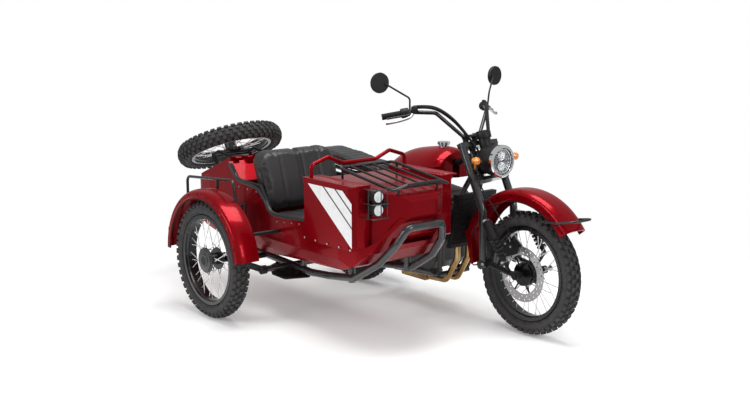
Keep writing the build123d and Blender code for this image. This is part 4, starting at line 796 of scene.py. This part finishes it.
# %% [markdown]
# A padded black roll follows the cockpit's cut-out down from the seat and forward along the
# sill, on both sides. Its path has many bends but one thickness, so it is a bent bar too.

# %% Cockpit rolls
roll_path = ((-0.53, 0.822), (-0.488, 0.772), (-0.446, 0.738), (-0.34, 0.731), (-0.235, 0.72),
             (-0.172, 0.664), (-0.124, 0.602), (-0.06, 0.592), (0.08, 0.602), (0.25, 0.616))
rolls = []
for y in (-0.541, 0.061):
    rolls.append(bent("roll", [(x, y, z) for x, z in roll_path], 0.0125, 5))
add_piece(joined(rolls, "cockpit_rolls"), "root", leather, "black_rubber")

# %% [markdown]
# Two stays carry the side fender. The CAD stays are red with the fender, as one part, while
# the real ones are black, so a thin black sleeve is slid over each.

# %% Sleeves on the fender's stays
stay_ring = 0.371
sleeves = []
for angle in (radians(30), radians(145)):
    x = side_axle_x + cos(angle) * stay_ring
    z = axle_height + sin(angle) * stay_ring
    sleeves.append(bent("sleeve", [(x, -0.716, z), (x, -0.64, z), (x, -0.552, z)], 0.0102, 4))
add_piece(joined(sleeves, "fender_stay_sleeves"), "root", black_satin, "black_paint")

# %% [markdown]
# ## Stripes on the storage box
# Three white bands slant across the box panel with fine black lines between them. They could
# be painted by a pattern in the material, but their ends follow the panel's edges, which a
# flat plane with set corners does exactly. Paint has almost no thickness: each is 0.4 mm.

# %% White bands and thin black lines
panel_y = -0.5891
band_top = 0.824
band_end = 0.6712
band_fall = 0.77
paint_thickness = 0.0004


def band(name, left, right, material, slot):
    start()
    bpy.ops.mesh.primitive_plane_add(size=1)
    piece = bpy.context.object
    corners = ((left, band_top), (right, band_top),
               (band_end, band_top - band_fall * (band_end - right)),
               (band_end, band_top - band_fall * (band_end - left)))
    for number, (x, z) in zip((0, 1, 3, 2), corners):
        piece.data.vertices[number].co = (x, panel_y, z)
    thick = piece.modifiers.new("paint", "SOLIDIFY")
    thick.thickness = paint_thickness
    thick.offset = 0
    applied(piece)
    bpy.ops.object.mode_set(mode="EDIT")
    bpy.ops.mesh.select_all(action="SELECT")
    bpy.ops.mesh.normals_make_consistent(inside=False)
    bpy.ops.object.mode_set(mode="OBJECT")
    piece.name = name
    add_piece(piece, "root", material, slot)


band("stripe_wide", 0.305, 0.433, white_paint, "red_paint")
band("stripe_middle", 0.447, 0.531, white_paint, "red_paint")
band("stripe_narrow", 0.545, 0.597, white_paint, "red_paint")
band("line_one", 0.4365, 0.4435, thin_black, "black_plastic")
band("line_two", 0.5345, 0.5415, thin_black, "black_plastic")

# %% [markdown]
# ## The lids of the two boxes
# Each storage box closes with a thin pressed lid that overhangs its wall by a millimetre or
# two. A cube is pressed flat, its middle is sunk by an inset, and its edges are rounded. A
# plain plate would look like a shelf; the sunk middle is what reads as pressed sheet.

# %% Box lids
for number, (low, high) in enumerate(((-0.5905, -0.476), (-0.0045, 0.1105))):
    lid = pressed_cube((0.415, high - low, 0.009), (0.468, (low + high) / 2, 0.8475))
    pick_faces(lid, lambda face: face.normal.z > 0.9)
    bpy.ops.mesh.inset(thickness=0.009)
    bpy.ops.mesh.inset(thickness=0.003)
    bpy.ops.transform.translate(value=(0, 0, -0.0018))
    bpy.ops.object.mode_set(mode="OBJECT")
    softened(settle(lid, f"box_lid_{number + 1}"), 0.0018, 3)
    add_piece(smooth(lid), "root", candy_red, "red_paint")

# %% [markdown]
# ## The headlamp
# Behind the domed glass sits a split reflector: a bright bowl with a cross bar, a lens above
# it and one below, and a bright ring round them. The bowl comes first, as a lathe piece: the
# steps of its rim and floor are what the light picks out.

# %% The lamp's bowl
lamp = beside(1, 0.7407, 0, 0.899)
ahead = (1, 0, 0)
bowl = stepped("lamp_bowl", lamp, ahead, 0.0705, 0.004,
               (("push", 0.006), ("inset", 0.004), ("push", -0.006), ("inset", 0.012),
                ("push", -0.001)), 64)
add_piece(bowl, "steering", dark_mirror, "bright_chrome")

# %% [markdown]
# The lamp's shell is fuller than half a ball, almost a bowl with a flat back. A sphere's points
# are pushed out to a superellipse, which gives that fullness with one power. Two ears reach
# back from it to the fork legs, as bent round bars.

# %% The lamp's shell and its ears
shell_power = 2.7
shell_depth = 0.148
shell_radius = 0.0846
shell_lip = 0.004
start()
bpy.ops.mesh.primitive_uv_sphere_add(segments=64, ring_count=32, radius=1,
                                     rotation=(0, pi / 2, 0))
shell = settle(bpy.context.object, "lamp_shell")
for v in shell.data.vertices:
    fullness = (1 - min(1, abs(v.co.x)) ** shell_power) ** (1 / shell_power)
    flat = max(1e-6, (v.co.y ** 2 + v.co.z ** 2) ** 0.5)
    v.co = (shell_lip if v.co.x > 0 else v.co.x * shell_depth,
            v.co.y / flat * fullness * shell_radius, v.co.z / flat * fullness * shell_radius)
shell.data.transform(Matrix.Translation(beside(1, 0.7385, 0, 0.899)))
ears = [bent("ear", [beside(side, 0.69, 0.07, 0.895), beside(side, 0.65, 0.093, 0.885),
                     beside(side, 0.625, 0.113, 0.874)], 0.012, 4) for side in side_words]
shell = smooth(joined([shell, *ears], "lamp_shell"), 40)
add_piece(shell, "steering", black_satin, "black_plastic", "headlamp_shell")

# %% [markdown]
# A thin bright ring lies just inside the glass. A torus is the ring already, so it needs no
# more than its size and its place.

# %% The ring inside the glass
start()
bpy.ops.mesh.primitive_torus_add(major_radius=0.0625, minor_radius=0.003, major_segments=64,
                                 minor_segments=10, location=lamp + Vector((0.0085, 0, 0)),
                                 rotation=(0, pi / 2, 0))
ring = smooth(settle(bpy.context.object, "lamp_day_ring"), 60)
add_piece(ring, "steering", chrome, "bright_chrome")

# %% [markdown]
# The two small lenses, for the low and the high beam, have a sunk rim and a crowned middle.
# The bar between them is a pressed cube with soft edges.

# %% Two lenses and the bar between them
eyes = []
for side in (-1, 1):
    eyes.append(stepped("eye", lamp + Vector((0.003, 0, side * 0.027)), ahead, 0.0235, 0.004,
                        (("inset", 0.003), ("push", -0.002), ("inset", 0.002), ("push", 0.006),
                         ("inset", 0.006), ("push", 0.003), ("inset", 0.005), ("push", 0.001)),
                        40))
add_piece(joined(eyes, "lamp_eyes"), "steering", white_lens, "lamp_glass")
bar = pressed_cube((0.009, 0.108, 0.006), lamp + Vector((0.007, 0, 0)))
softened(settle(bar, "lamp_cross_bar"), 0.0015, 3)
add_piece(bar, "steering", black_gloss, "black_plastic")

# %% [markdown]
# The CAD lens is one thick disc, which would hide all this, so a thin domed glass takes its
# place. Three insets, each pushed a little less, draw the dome.

# %% The domed glass
glass = stepped("lamp_dome", lamp + Vector((0.0135, 0, 0)), ahead, 0.0705, 0.0025,
                (("inset", 0.008), ("push", 0.0028), ("inset", 0.014), ("push", 0.0024),
                 ("inset", 0.02), ("push", 0.001)), 64)
add_piece(glass, "steering", clear_glass, "lamp_glass", "headlamp_lens")

# %% [markdown]
# ## Hand controls
# A silver lever stands in front of each grip, and a round switch pod clamps the bar beside it.
# A lever is a bent bar that swells at its tip, which the taper of the curve gives. The pods
# lie along the grips' own direction, so they sit square on the bar.

# %% Levers and switch pods
grip_way = Vector((-0.578, 0.799, -0.175))
lever_path = ((0.3535, 0.29, 1.1365), (0.36, 0.305, 1.122), (0.335, 0.345, 1.106),
              (0.307, 0.385, 1.094), (0.284, 0.418, 1.09))
lever_taper = (1.1, 1.0, 0.95, 0.9, 1.25)
for side, word in side_words.items():
    lever = bent(f"lever_{word}", [beside(side, *point) for point in lever_path], 0.0078, 4,
                 lever_taper)
    add_piece(lever, "steering", bright_alloy, "hub_alloy")
    way = Vector((grip_way.x, side * grip_way.y, grip_way.z))
    switches = stepped(f"switch_pod_{word}", beside(side, 0.318, 0.279, 1.145) + way * 0.004, way,
                       0.0265, 0.043, (("inset", 0.003), ("push", 0.003)), 24, 0.003)
    add_piece(switches, "steering", black_plastic, "black_plastic")

# %% [markdown]
# The fluid of the front brake sits in a small round pot by the right hand, with a lid that
# overhangs it. It is a lathe piece that stands almost upright.

# %% Brake reservoir
reservoir = stepped("brake_reservoir", (0.352, 0.09, 1.143), (0.05, 0, 1), 0.019, 0.026,
                    (("push", 0.002), ("inset", 0.001), ("push", 0.006), ("inset", 0.003),
                     ("push", 0.0015)), 28, 0.001)
add_piece(reservoir, "steering", black_plastic, "black_plastic")

# %% [markdown]
# Three black cables a side bow up from the hand controls and run down behind the headlamp.
# Both their ends are on parts that steer, so they are stiff bent pieces that ride with the
# bars. Each run is lifted and pushed forward a little, so that the three stay apart.

# %% Cables
cable_radius = 0.0052
cables = []
for side in side_words:
    for lift, reach in ((0.0, 0.0), (0.011, 0.006), (0.004, 0.014)):
        run = ((0.33, 0.262, 1.165 + lift), (0.372 + reach, 0.235, 1.172 + lift),
               (0.432 + reach, 0.185, 1.165 + lift), (0.5 + reach, 0.125, 1.105 + lift),
               (0.552 + reach, 0.085, 1.035), (0.598, 0.06, 0.975), (0.635, 0.045, 0.93))
        cables.append(bent("cable", [beside(side, *point) for point in run], cable_radius))
add_piece(joined(cables, "bar_cables"), "steering", rubber, "black_rubber")

# %% [markdown]
# ## Dial and mirrors
# The dial looks up at the rider from a round can on a neck. Both are lathe pieces along one
# tilted axis, and so is the raised bezel, so they line up without measuring.

# %% The dial's can and bezel
dial_way = Vector((-0.3, 0, 0.954)).normalized()
dial_foot = beside(1, 0.634, 0, 0.945)
dial = dial_foot + dial_way * 0.1035
pod = joined([stepped("neck", dial_foot, dial_way, 0.0325, 0.074, (), 48, 0.001),
              stepped("can", dial_foot + dial_way * 0.068, dial_way, 0.041, 0.034,
                      (("inset", 0.003), ("push", 0.0015)), 56, 0.004)], "instrument_pod")
add_piece(pod, "steering", black_satin, "black_plastic", "instrument")
bezel = stepped("dial_bezel", dial, dial_way, 0.0385, 0.0045,
                (("inset", 0.004), ("push", -0.0025), ("inset", 0.003)), 48)
add_piece(bezel, "steering", black_gloss, "black_plastic")

# %% [markdown]
# The ticks are the plain marks of a scale. Each is a sliver of a cube, turned round the dial
# ten degrees on from the last, and every fourth is longer.

# %% Ticks of the scale
tick_count = 25
tick_ring = 0.029
ticks = []
for number in range(tick_count):
    tick = pressed_cube((0.006 if number % 4 else 0.009, 0.0012, 0.0004))
    bpy.ops.object.mode_set(mode="OBJECT")
    turn = Matrix.Rotation(radians(-120 + 10 * number), 4, "Z")
    tick.data.transform(Matrix.Translation(dial + dial_way * 0.0018) @ toward(dial_way) @ turn
                        @ Matrix.Translation((tick_ring, 0, 0)))
    ticks.append(tick)
add_piece(joined(ticks, "dial_ticks"), "steering", white_paint, "black_plastic")

# %% [markdown]
# The mirror glasses face the rider from the backs of the round mirror shells. A thin disc with
# a mirror finish is enough, because the reflection does the rest.

# %% Mirror glasses
for side, word in side_words.items():
    facing = Vector((-1, -side * 0.12, 0)).normalized()
    centre = beside(side, 0.25, 0.434, 1.3068) + facing * 0.0088
    mirror = stepped(f"mirror_glass_{word}", centre, facing, 0.0515, 0.0008, (), 48, 0.0003)
    add_piece(mirror, "steering", mirror_glass, "bright_chrome")

# %% [markdown]
# ## Spot lamps
# Two small lamps stand one above the other at the box's corner, with white faces in dark
# bodies. Each face is a lathe piece with a raised rim and a crowned middle.

# %% Faces of the spot lamps
faces = []
for height in (0.7315, 0.7985):
    faces.append(stepped("face", (0.7322, -0.469, height), ahead, 0.0275, 0.003,
                         (("inset", 0.002), ("push", -0.001), ("inset", 0.004), ("push", 0.003),
                          ("inset", 0.009), ("push", 0.001)), 40))
add_piece(joined(faces, "spot_lamp_faces"), "root", white_lens, "lamp_glass")

# %% [markdown]
# ## Caps and bolts
# Chromed caps close the ends of the front axle. A dome could be half a sphere, but two insets
# with a smaller push each give the flatter crown of a pressed cap.

# %% Axle caps
axle_end = 0.159
for side, word in side_words.items():
    cap = stepped(f"axle_cap_{word}", beside(side, front_axle_x, axle_end, axle_height),
                  (0, side, 0), 0.0155, 0.007,
                  (("inset", 0.003), ("push", 0.003), ("inset", 0.004), ("push", 0.0015)), 32)
    add_piece(cap, "steering", chrome, "bright_chrome")

# %% [markdown]
# Small hexagon bolts hold the storage box. A six-sided lathe piece with a slight crown is one
# bolt head, and copies of it stand along the panel's lower edge.

# %% Bolt heads of the box
bolt = stepped("bolt", (0, 0, 0), (0, 0, 1), 0.0055, 0.0045,
               (("inset", 0.0012), ("push", 0.0008)), 6, 0.0004)
right_side = toward((0, -1, 0))
heads = []
for x in (0.275, 0.37, 0.47, 0.57, 0.66):
    heads.append(twin(bolt, "head", Matrix.Translation((x, -0.5892, 0.535)) @ right_side))
add_piece(joined(heads, "box_bolts"), "root", steel, "disc_steel")

# %% [markdown]
# Round covers close the engine's sides. Each gets a raised plate with a ring of small bolts,
# so that the plain cast discs read as covers that come off. The plate is lathe work again, and
# the bolts are copies of the one above.

# %% Engine covers and their bolts
cover_out = 0.1372
cover_height = 0.34
bolt_margin = 0.013
first_bolt = 0.3
cover_plates = []
cover_bolts = []
for x, side, radius, count in ((0.0489, -1, 0.092, 8), (0.2695, -1, 0.057, 6),
                               (0.2548, 1, 0.066, 6)):
    face = beside(side, x, cover_out, cover_height)
    cover_plates.append(stepped("plate", face, (0, side, 0), radius * 0.62, 0.003,
                                (("inset", 0.004), ("push", 0.002), ("inset", radius * 0.2),
                                 ("push", -0.0025), ("inset", 0.006), ("push", 0.002)), 40))
    for number in range(count):
        angle = 2 * pi * number / count + first_bolt
        place = face + Vector((cos(angle), 0, sin(angle))) * (radius - bolt_margin)
        cover_bolts.append(twin(bolt, "head", Matrix.Translation(place) @ toward((0, side, 0))))
add_piece(joined(cover_plates, "engine_cover_plates"), "root", cast_alloy, "engine_alloy")
add_piece(joined(cover_bolts, "engine_cover_bolts"), "root", steel, "disc_steel")

# %% [markdown]
# The radiator's front is a close stack of thin fins. A bump would look flat from the side, so
# each fin is a real pressed cube, and the fins climb the leaning core ten millimetres apart.

# %% Radiator fins
fin_count = 24
fin_pitch = 0.01
core_front = 0.5135
core_bottom = 0.4
core_height = 0.304
core_lean = 0.0529
fins = []
for number in range(fin_count):
    height = 0.436 + fin_pitch * number
    fin = pressed_cube((0.006, 0.27, 0.0022))
    bpy.ops.object.mode_set(mode="OBJECT")
    front = core_front + (height - core_bottom) / core_height * core_lean + 0.0015
    fin.data.transform(Matrix.Translation((front, bike_y, height)))
    fins.append(fin)
add_piece(joined(fins, "radiator_fins"), "root", cast_alloy, "black_plastic")

# %% [markdown]
# ## Fenders
# The fenders are pressed sheet with a softly rounded crown. The section is drawn first: the
# upper half of a circle is spread into a superellipse a little outside the CAD shell's
# corners, and its two ends are pulled down into straight sides.

# %% The section of a fender
side_gap = 0.0024
crown_gap = 0.0014
crown_share = 0.62
straight_share = 0.36
corner_power = 2 / 3


def pick_points(piece, wanted):
    """Edit mode opens with only the points that pass the test selected."""
    bpy.ops.object.mode_set(mode="EDIT")
    bpy.ops.mesh.select_mode(type="VERT")
    bpy.ops.mesh.select_all(action="DESELECT")
    bpy.ops.object.mode_set(mode="OBJECT")
    for v in piece.data.vertices:
        v.select = wanted(v.co)
    bpy.ops.object.mode_set(mode="EDIT")


def fender_section(radius, half, lip):
    start()
    bpy.ops.mesh.primitive_circle_add(vertices=72, radius=1, rotation=(pi / 2, 0, 0))
    skin = settle(bpy.context.object)
    pick_points(skin, lambda p: p.z < -0.01)
    bpy.ops.mesh.delete(type="VERT")
    bpy.ops.object.mode_set(mode="OBJECT")
    crown = lip * crown_share
    for v in skin.data.vertices:
        across = abs(v.co.x) ** corner_power * (half + side_gap)
        rise = max(v.co.z, 0) ** corner_power * crown
        v.co = (0, across if v.co.x > 0 else -across, radius + crown_gap - crown + rise)
    pick_points(skin, lambda p: abs(p.y) > half + 0.002)
    down = {"value": (0, 0, -lip * straight_share)}
    bpy.ops.mesh.extrude_region_move(TRANSFORM_OT_translate=down)
    bpy.ops.object.mode_set(mode="OBJECT")
    return skin


# %% [markdown]
# The section is then spun about the wheel's axle from one end of the fender to the other, and
# Solidify turns the skin inward, so that it closes on the CAD shell. Spin can leave the shape
# inside out, so its normals are recalculated before it gets its wall.

# %% Rounded fender skins
spin_step = 3
fenders = (("front", "steering", (0.9503, 0.3531), bike_y, 0.425, 0.076, 0.062, 37, 159),
           ("rear", "root", (rear_axle_x, axle_height), bike_y, 0.357, 0.07, 0.0372, 38, 190),
           ("side", "root", (side_axle_x, axle_height), side_wheel_y, 0.396, 0.068, 0.0496, 8,
            178))
for word, body, (x, z), middle, radius, half, lip, low, high in fenders:
    skin = fender_section(radius, half, lip)
    skin.data.transform(Matrix.Rotation(radians(90 - low), 4, "Y"))
    bpy.ops.object.mode_set(mode="EDIT")
    bpy.ops.mesh.select_all(action="SELECT")
    bpy.ops.mesh.spin(steps=(high - low) // spin_step, angle=radians(high - low),
                      center=(0, 0, 0), axis=(0, 1, 0))
    bpy.ops.mesh.normals_make_consistent(inside=False)
    bpy.ops.object.mode_set(mode="OBJECT")
    wall = skin.modifiers.new("wall", "SOLIDIFY")
    wall.thickness = 0.003
    wall.offset = -1
    applied(skin)
    skin.data.transform(Matrix.Translation((x, middle, z)))
    add_piece(smooth(settle(skin, f"{word}_fender_skin"), 50), body, candy_red, "red_paint")

# %% [markdown]
# Black rubber beads cover the raw edges of the three fenders. Each follows its fender's edge,
# an arc about its own centre, as a thin bent bar. The same table gives the arcs, so a bead
# can't miss its fender.

# %% Fender beads
bead_radius = 0.0036
for word, body, (x, z), middle, radius, half, lip, low, high in fenders:
    arc = [radians(low + (high - low) * step / 20) for step in range(21)]
    beads = []
    for side in (-1, 1):
        beads.append(bent("bead", [(x + cos(a) * (radius - lip), middle + side * half,
                                    z + sin(a) * (radius - lip)) for a in arc], bead_radius))
    add_piece(joined(beads, f"{word}_fender_beads"), body, rubber, "black_rubber")

# %% [markdown]
# ## The front end
# The front end shows its bolts: at the links' pivots, at the shock absorbers' eyes and on the
# brake calliper. They are turned pins with a sunk middle; the calliper's have six sides.

# %% Fork bolts
fork_bolts = []
for side in side_words:
    for x, z, out, radius, depth in ((0.7672, 0.3597, 0.142, 0.0095, 0.006),
                                     (0.8001, 0.6039, 0.14, 0.008, 0.042),
                                     (0.9322, 0.4026, 0.135, 0.008, 0.036)):
        fork_bolts.append(stepped("pin", beside(side, x, out, z), (0, side, 0), radius, depth,
                                  (("inset", 0.002), ("push", 0.0025), ("inset", 0.0025),
                                   ("push", -0.001)), 16))
for x, z in ((0.8497, 0.4554), (0.909, 0.472), (0.87, 0.483)):
    fork_bolts.append(stepped("pin", (x, 0.2835, z), (0, -1, 0), 0.0075, 0.005,
                              (("inset", 0.002), ("push", 0.002)), 6))
add_piece(joined(fork_bolts, "fork_bolts"), "steering", bright_alloy, "hub_alloy")

# %% [markdown]
# One brake hose climbs from the calliper past the fork leg to the yoke. Both its ends steer,
# so it is a stiff bent piece like the cables, thinner and with one long bow.

# %% Brake hose
hose = bent("brake_hose", [(0.893, 0.3, 0.497), (0.905, 0.282, 0.54), (0.868, 0.245, 0.62),
                           (0.81, 0.226, 0.7), (0.73, 0.226, 0.78), (0.675, 0.25, 0.86),
                           (0.63, 0.3, 0.925), (0.6, 0.33, 0.96)], 0.0036)
add_piece(hose, "steering", rubber, "black_rubber")

# %% [markdown]
# ## Small fittings
# Round rivets hold the trim under the cockpit's edge. One flat dome is turned and copied along
# the edge, lying on the hull's side.

# %% Rivets
rivet = stepped("rivet", (0, 0, 0), (0, 0, 1), 0.0052, 0.0014,
                (("inset", 0.0016), ("push", 0.0012)), 14, 0.0003)
rivets = []
for x, z in ((-0.43, 0.702), (-0.34, 0.699), (-0.25, 0.695), (-0.05, 0.562), (0.02, 0.568),
             (0.09, 0.574), (0.16, 0.58), (0.23, 0.586)):
    rivets.append(twin(rivet, "rivet", Matrix.Translation((x, -0.5451, z)) @ right_side))
add_piece(joined(rivets, "hull_rivets"), "root", steel, "disc_steel")
bpy.data.objects.remove(rivet)

# %% [markdown]
# A third small lamp sits beside the pair at the box's corner. It is too small to need a lens
# of its own, so its face is one sunk step of the same black piece.

# %% Small lamp
small_lamp = stepped("small_lamp", (0.712, -0.4285, 0.762), ahead, 0.0165, 0.036,
                     (("push", 0.002), ("inset", 0.002), ("push", -0.002), ("inset", 0.004),
                      ("push", 0.002)), 28, 0.001)
add_piece(small_lamp, "root", black_plastic, "black_plastic")

# %% [markdown]
# Four socket bolts clamp the bars onto their risers. Each head is a short disc with a sunk
# socket, two before the bar and two behind.

# %% Clamp bolts on the bars
clamps = [stepped("clamp", (0.503, bike_y + side * riser_out + end, 1.0195), (0, 0, 1), 0.0052,
                  0.006, (("inset", 0.0012), ("push", -0.002)), 12)
          for side in (-1, 1) for end in (-0.01, 0.01)]
add_piece(joined(clamps, "bar_clamp_bolts"), "steering", steel, "disc_steel")

# %% [markdown]
# The muffler ends in a short bright pipe. An inset pushed back into the cylinder leaves a thin
# wall with a deep mouth, which is simpler than cutting a hole.

# %% The muffler's end
muffler_way = Vector((-0.485, 0, 0.0928)).normalized()
muffler_start = Vector((-0.245, 0.541, 0.2208))
tail_end = stepped("muffler_end", muffler_start + muffler_way * 0.494, muffler_way, 0.0195, 0.022,
                   (("inset", 0.0025), ("push", -0.018)), 32)
add_piece(tail_end, "root", chrome, "bright_chrome")

# %% [markdown]
# Nuts hold the rear axle, and a wide cast cover closes the side wheel's hub. Both are lathe
# pieces; the nut has six sides, and the cover turns with its wheel.

# %% Axle nuts and the side hub's cover
nuts = []
for side in side_words:
    nuts.append(stepped("nut", beside(side, rear_axle_x, axle_end, axle_height), (0, side, 0),
                        0.0135, 0.008, (("inset", 0.003), ("push", 0.004), ("inset", 0.002)), 6))
add_piece(joined(nuts, "rear_axle_nuts"), "root", steel, "disc_steel")
side_cap = stepped("side_hub_cap", (side_axle_x, -0.8195, axle_height), (0, -1, 0), 0.071, 0.009,
                   (("inset", 0.008), ("push", 0.006), ("inset", 0.026), ("push", 0.004),
                    ("inset", 0.012), ("push", -0.003)), 48, 0.0015)
add_piece(side_cap, "side_wheel", cast_alloy, "hub_alloy")

# %% [markdown]
# ## Floor, backdrop, light and camera
# The floor is a pale disc that fades out by its distance from the middle, so the object's
# shadow stays and the white world shows beyond. A bent backdrop would need its own light to
# come out white; a fade needs none.

# %% Floor
start()
bpy.ops.mesh.primitive_circle_add(vertices=96, radius=7, fill_type="NGON",
                                  location=(0, 0, -0.0015))
floor = settle(bpy.context.object, "floor")
floor_white = bpy.data.materials.new("floor_white")
floor_white.use_nodes = True
tree = floor_white.node_tree
shader = tree.nodes["Principled BSDF"]
feed(tree, shader, {"Base Color": (0.93, 0.93, 0.93, 1), "Emission Color": (1, 1, 1, 1),
                    "Emission Strength": 0.16, "Roughness": 0.85})
here = shader_node(tree, "TexCoord").outputs["Object"]
reach = shader_node(tree, "VectorMath", {0: here}, operation="LENGTH")
fade = shader_node(tree, "MapRange", {"Value": reach.outputs["Value"], "From Min": 1.3,
                                      "From Max": 3.2}, interpolation_type="SMOOTHSTEP")
clear = shader_node(tree, "BsdfTransparent")
mix = shader_node(tree, "MixShader", {0: fade.outputs["Result"], 1: shader.outputs["BSDF"],
                                      2: clear.outputs["BSDF"]})
feed(tree, tree.nodes["Material Output"], {"Surface": mix.outputs["Shader"]})
floor.data.materials.append(floor_white)

# %% [markdown]
# The camera, and rays that pass through glass, see a white world of strength 1. A softer world
# of half that strength lights the object, so the background is white without more light on it.

# %% World
world = bpy.data.worlds.new("studio")
bpy.context.scene.world = world
world.use_nodes = True
tree = world.node_tree
light_path = shader_node(tree, "LightPath")
seen = shader_node(tree, "Math", {0: light_path.outputs["Is Camera Ray"],
                                  1: light_path.outputs["Is Transmission Ray"]},
                   operation="MAXIMUM")
soft = tree.nodes["Background"]
feed(tree, soft, {"Color": (1, 1, 1, 1), "Strength": 0.5})
white = shader_node(tree, "Background", {"Color": (1, 1, 1, 1), "Strength": 1.0})
choice = shader_node(tree, "MixShader", {0: seen.outputs["Value"], 1: soft.outputs["Background"],
                                         2: white.outputs["Background"]})
feed(tree, tree.nodes["World Output"], {"Surface": choice.outputs["Shader"]})

# %% [markdown]
# Three large lamps give the soft shadows and the long highlights of a studio: one overhead,
# one along the chair's side and one before the front wheel. Area lamps are used because a
# point or a sun would draw hard edges on the paint.


# %% Lamps
def soft_box(name, place, target, width, height, power):
    data = bpy.data.lights.new(name, "AREA")
    data.shape = "RECTANGLE"
    data.size = width
    data.size_y = height
    data.energy = power
    lamp_box = bpy.data.objects.new(name, data)
    bpy.context.collection.objects.link(lamp_box)
    lamp_box.location = place
    aim = Vector(target) - Vector(place)
    lamp_box.rotation_euler = aim.to_track_quat("-Z", "Y").to_euler()


soft_box("top_box", (0.3, 0.0, 4.0), (0, 0, 0), 3.2, 1.9, 140)
soft_box("side_box", (-0.5, -4.5, 2.4), (0, 0, 0.5), 3.0, 1.2, 62)
soft_box("front_box", (4.8, 0.8, 2.2), (0.3, 0, 0.6), 1.6, 1.6, 60)

# %% [markdown]
# The camera looks at the right front, from about six metres off and a little above the bars,
# turned 51 degrees and tipped 11 degrees down, with a 53 mm lens. The Standard view transform
# shows a colour as it is written.

# %% Camera and colour
camera_data = bpy.data.cameras.new("camera")
camera_data.lens = 53.0
camera_data.sensor_width = 36
camera = bpy.data.objects.new("camera", camera_data)
bpy.context.collection.objects.link(camera)
camera.location = (4.864, -3.831, 1.780)
camera.rotation_euler = (radians(90 - 11.11), 0, radians(51.05))
bpy.context.scene.camera = camera
bpy.context.scene.view_settings.view_transform = "Standard"

# %% [markdown]
# ## The end
# The pattern bolt has been copied and goes.

# %% The pattern bolt goes
bpy.data.objects.remove(bolt)
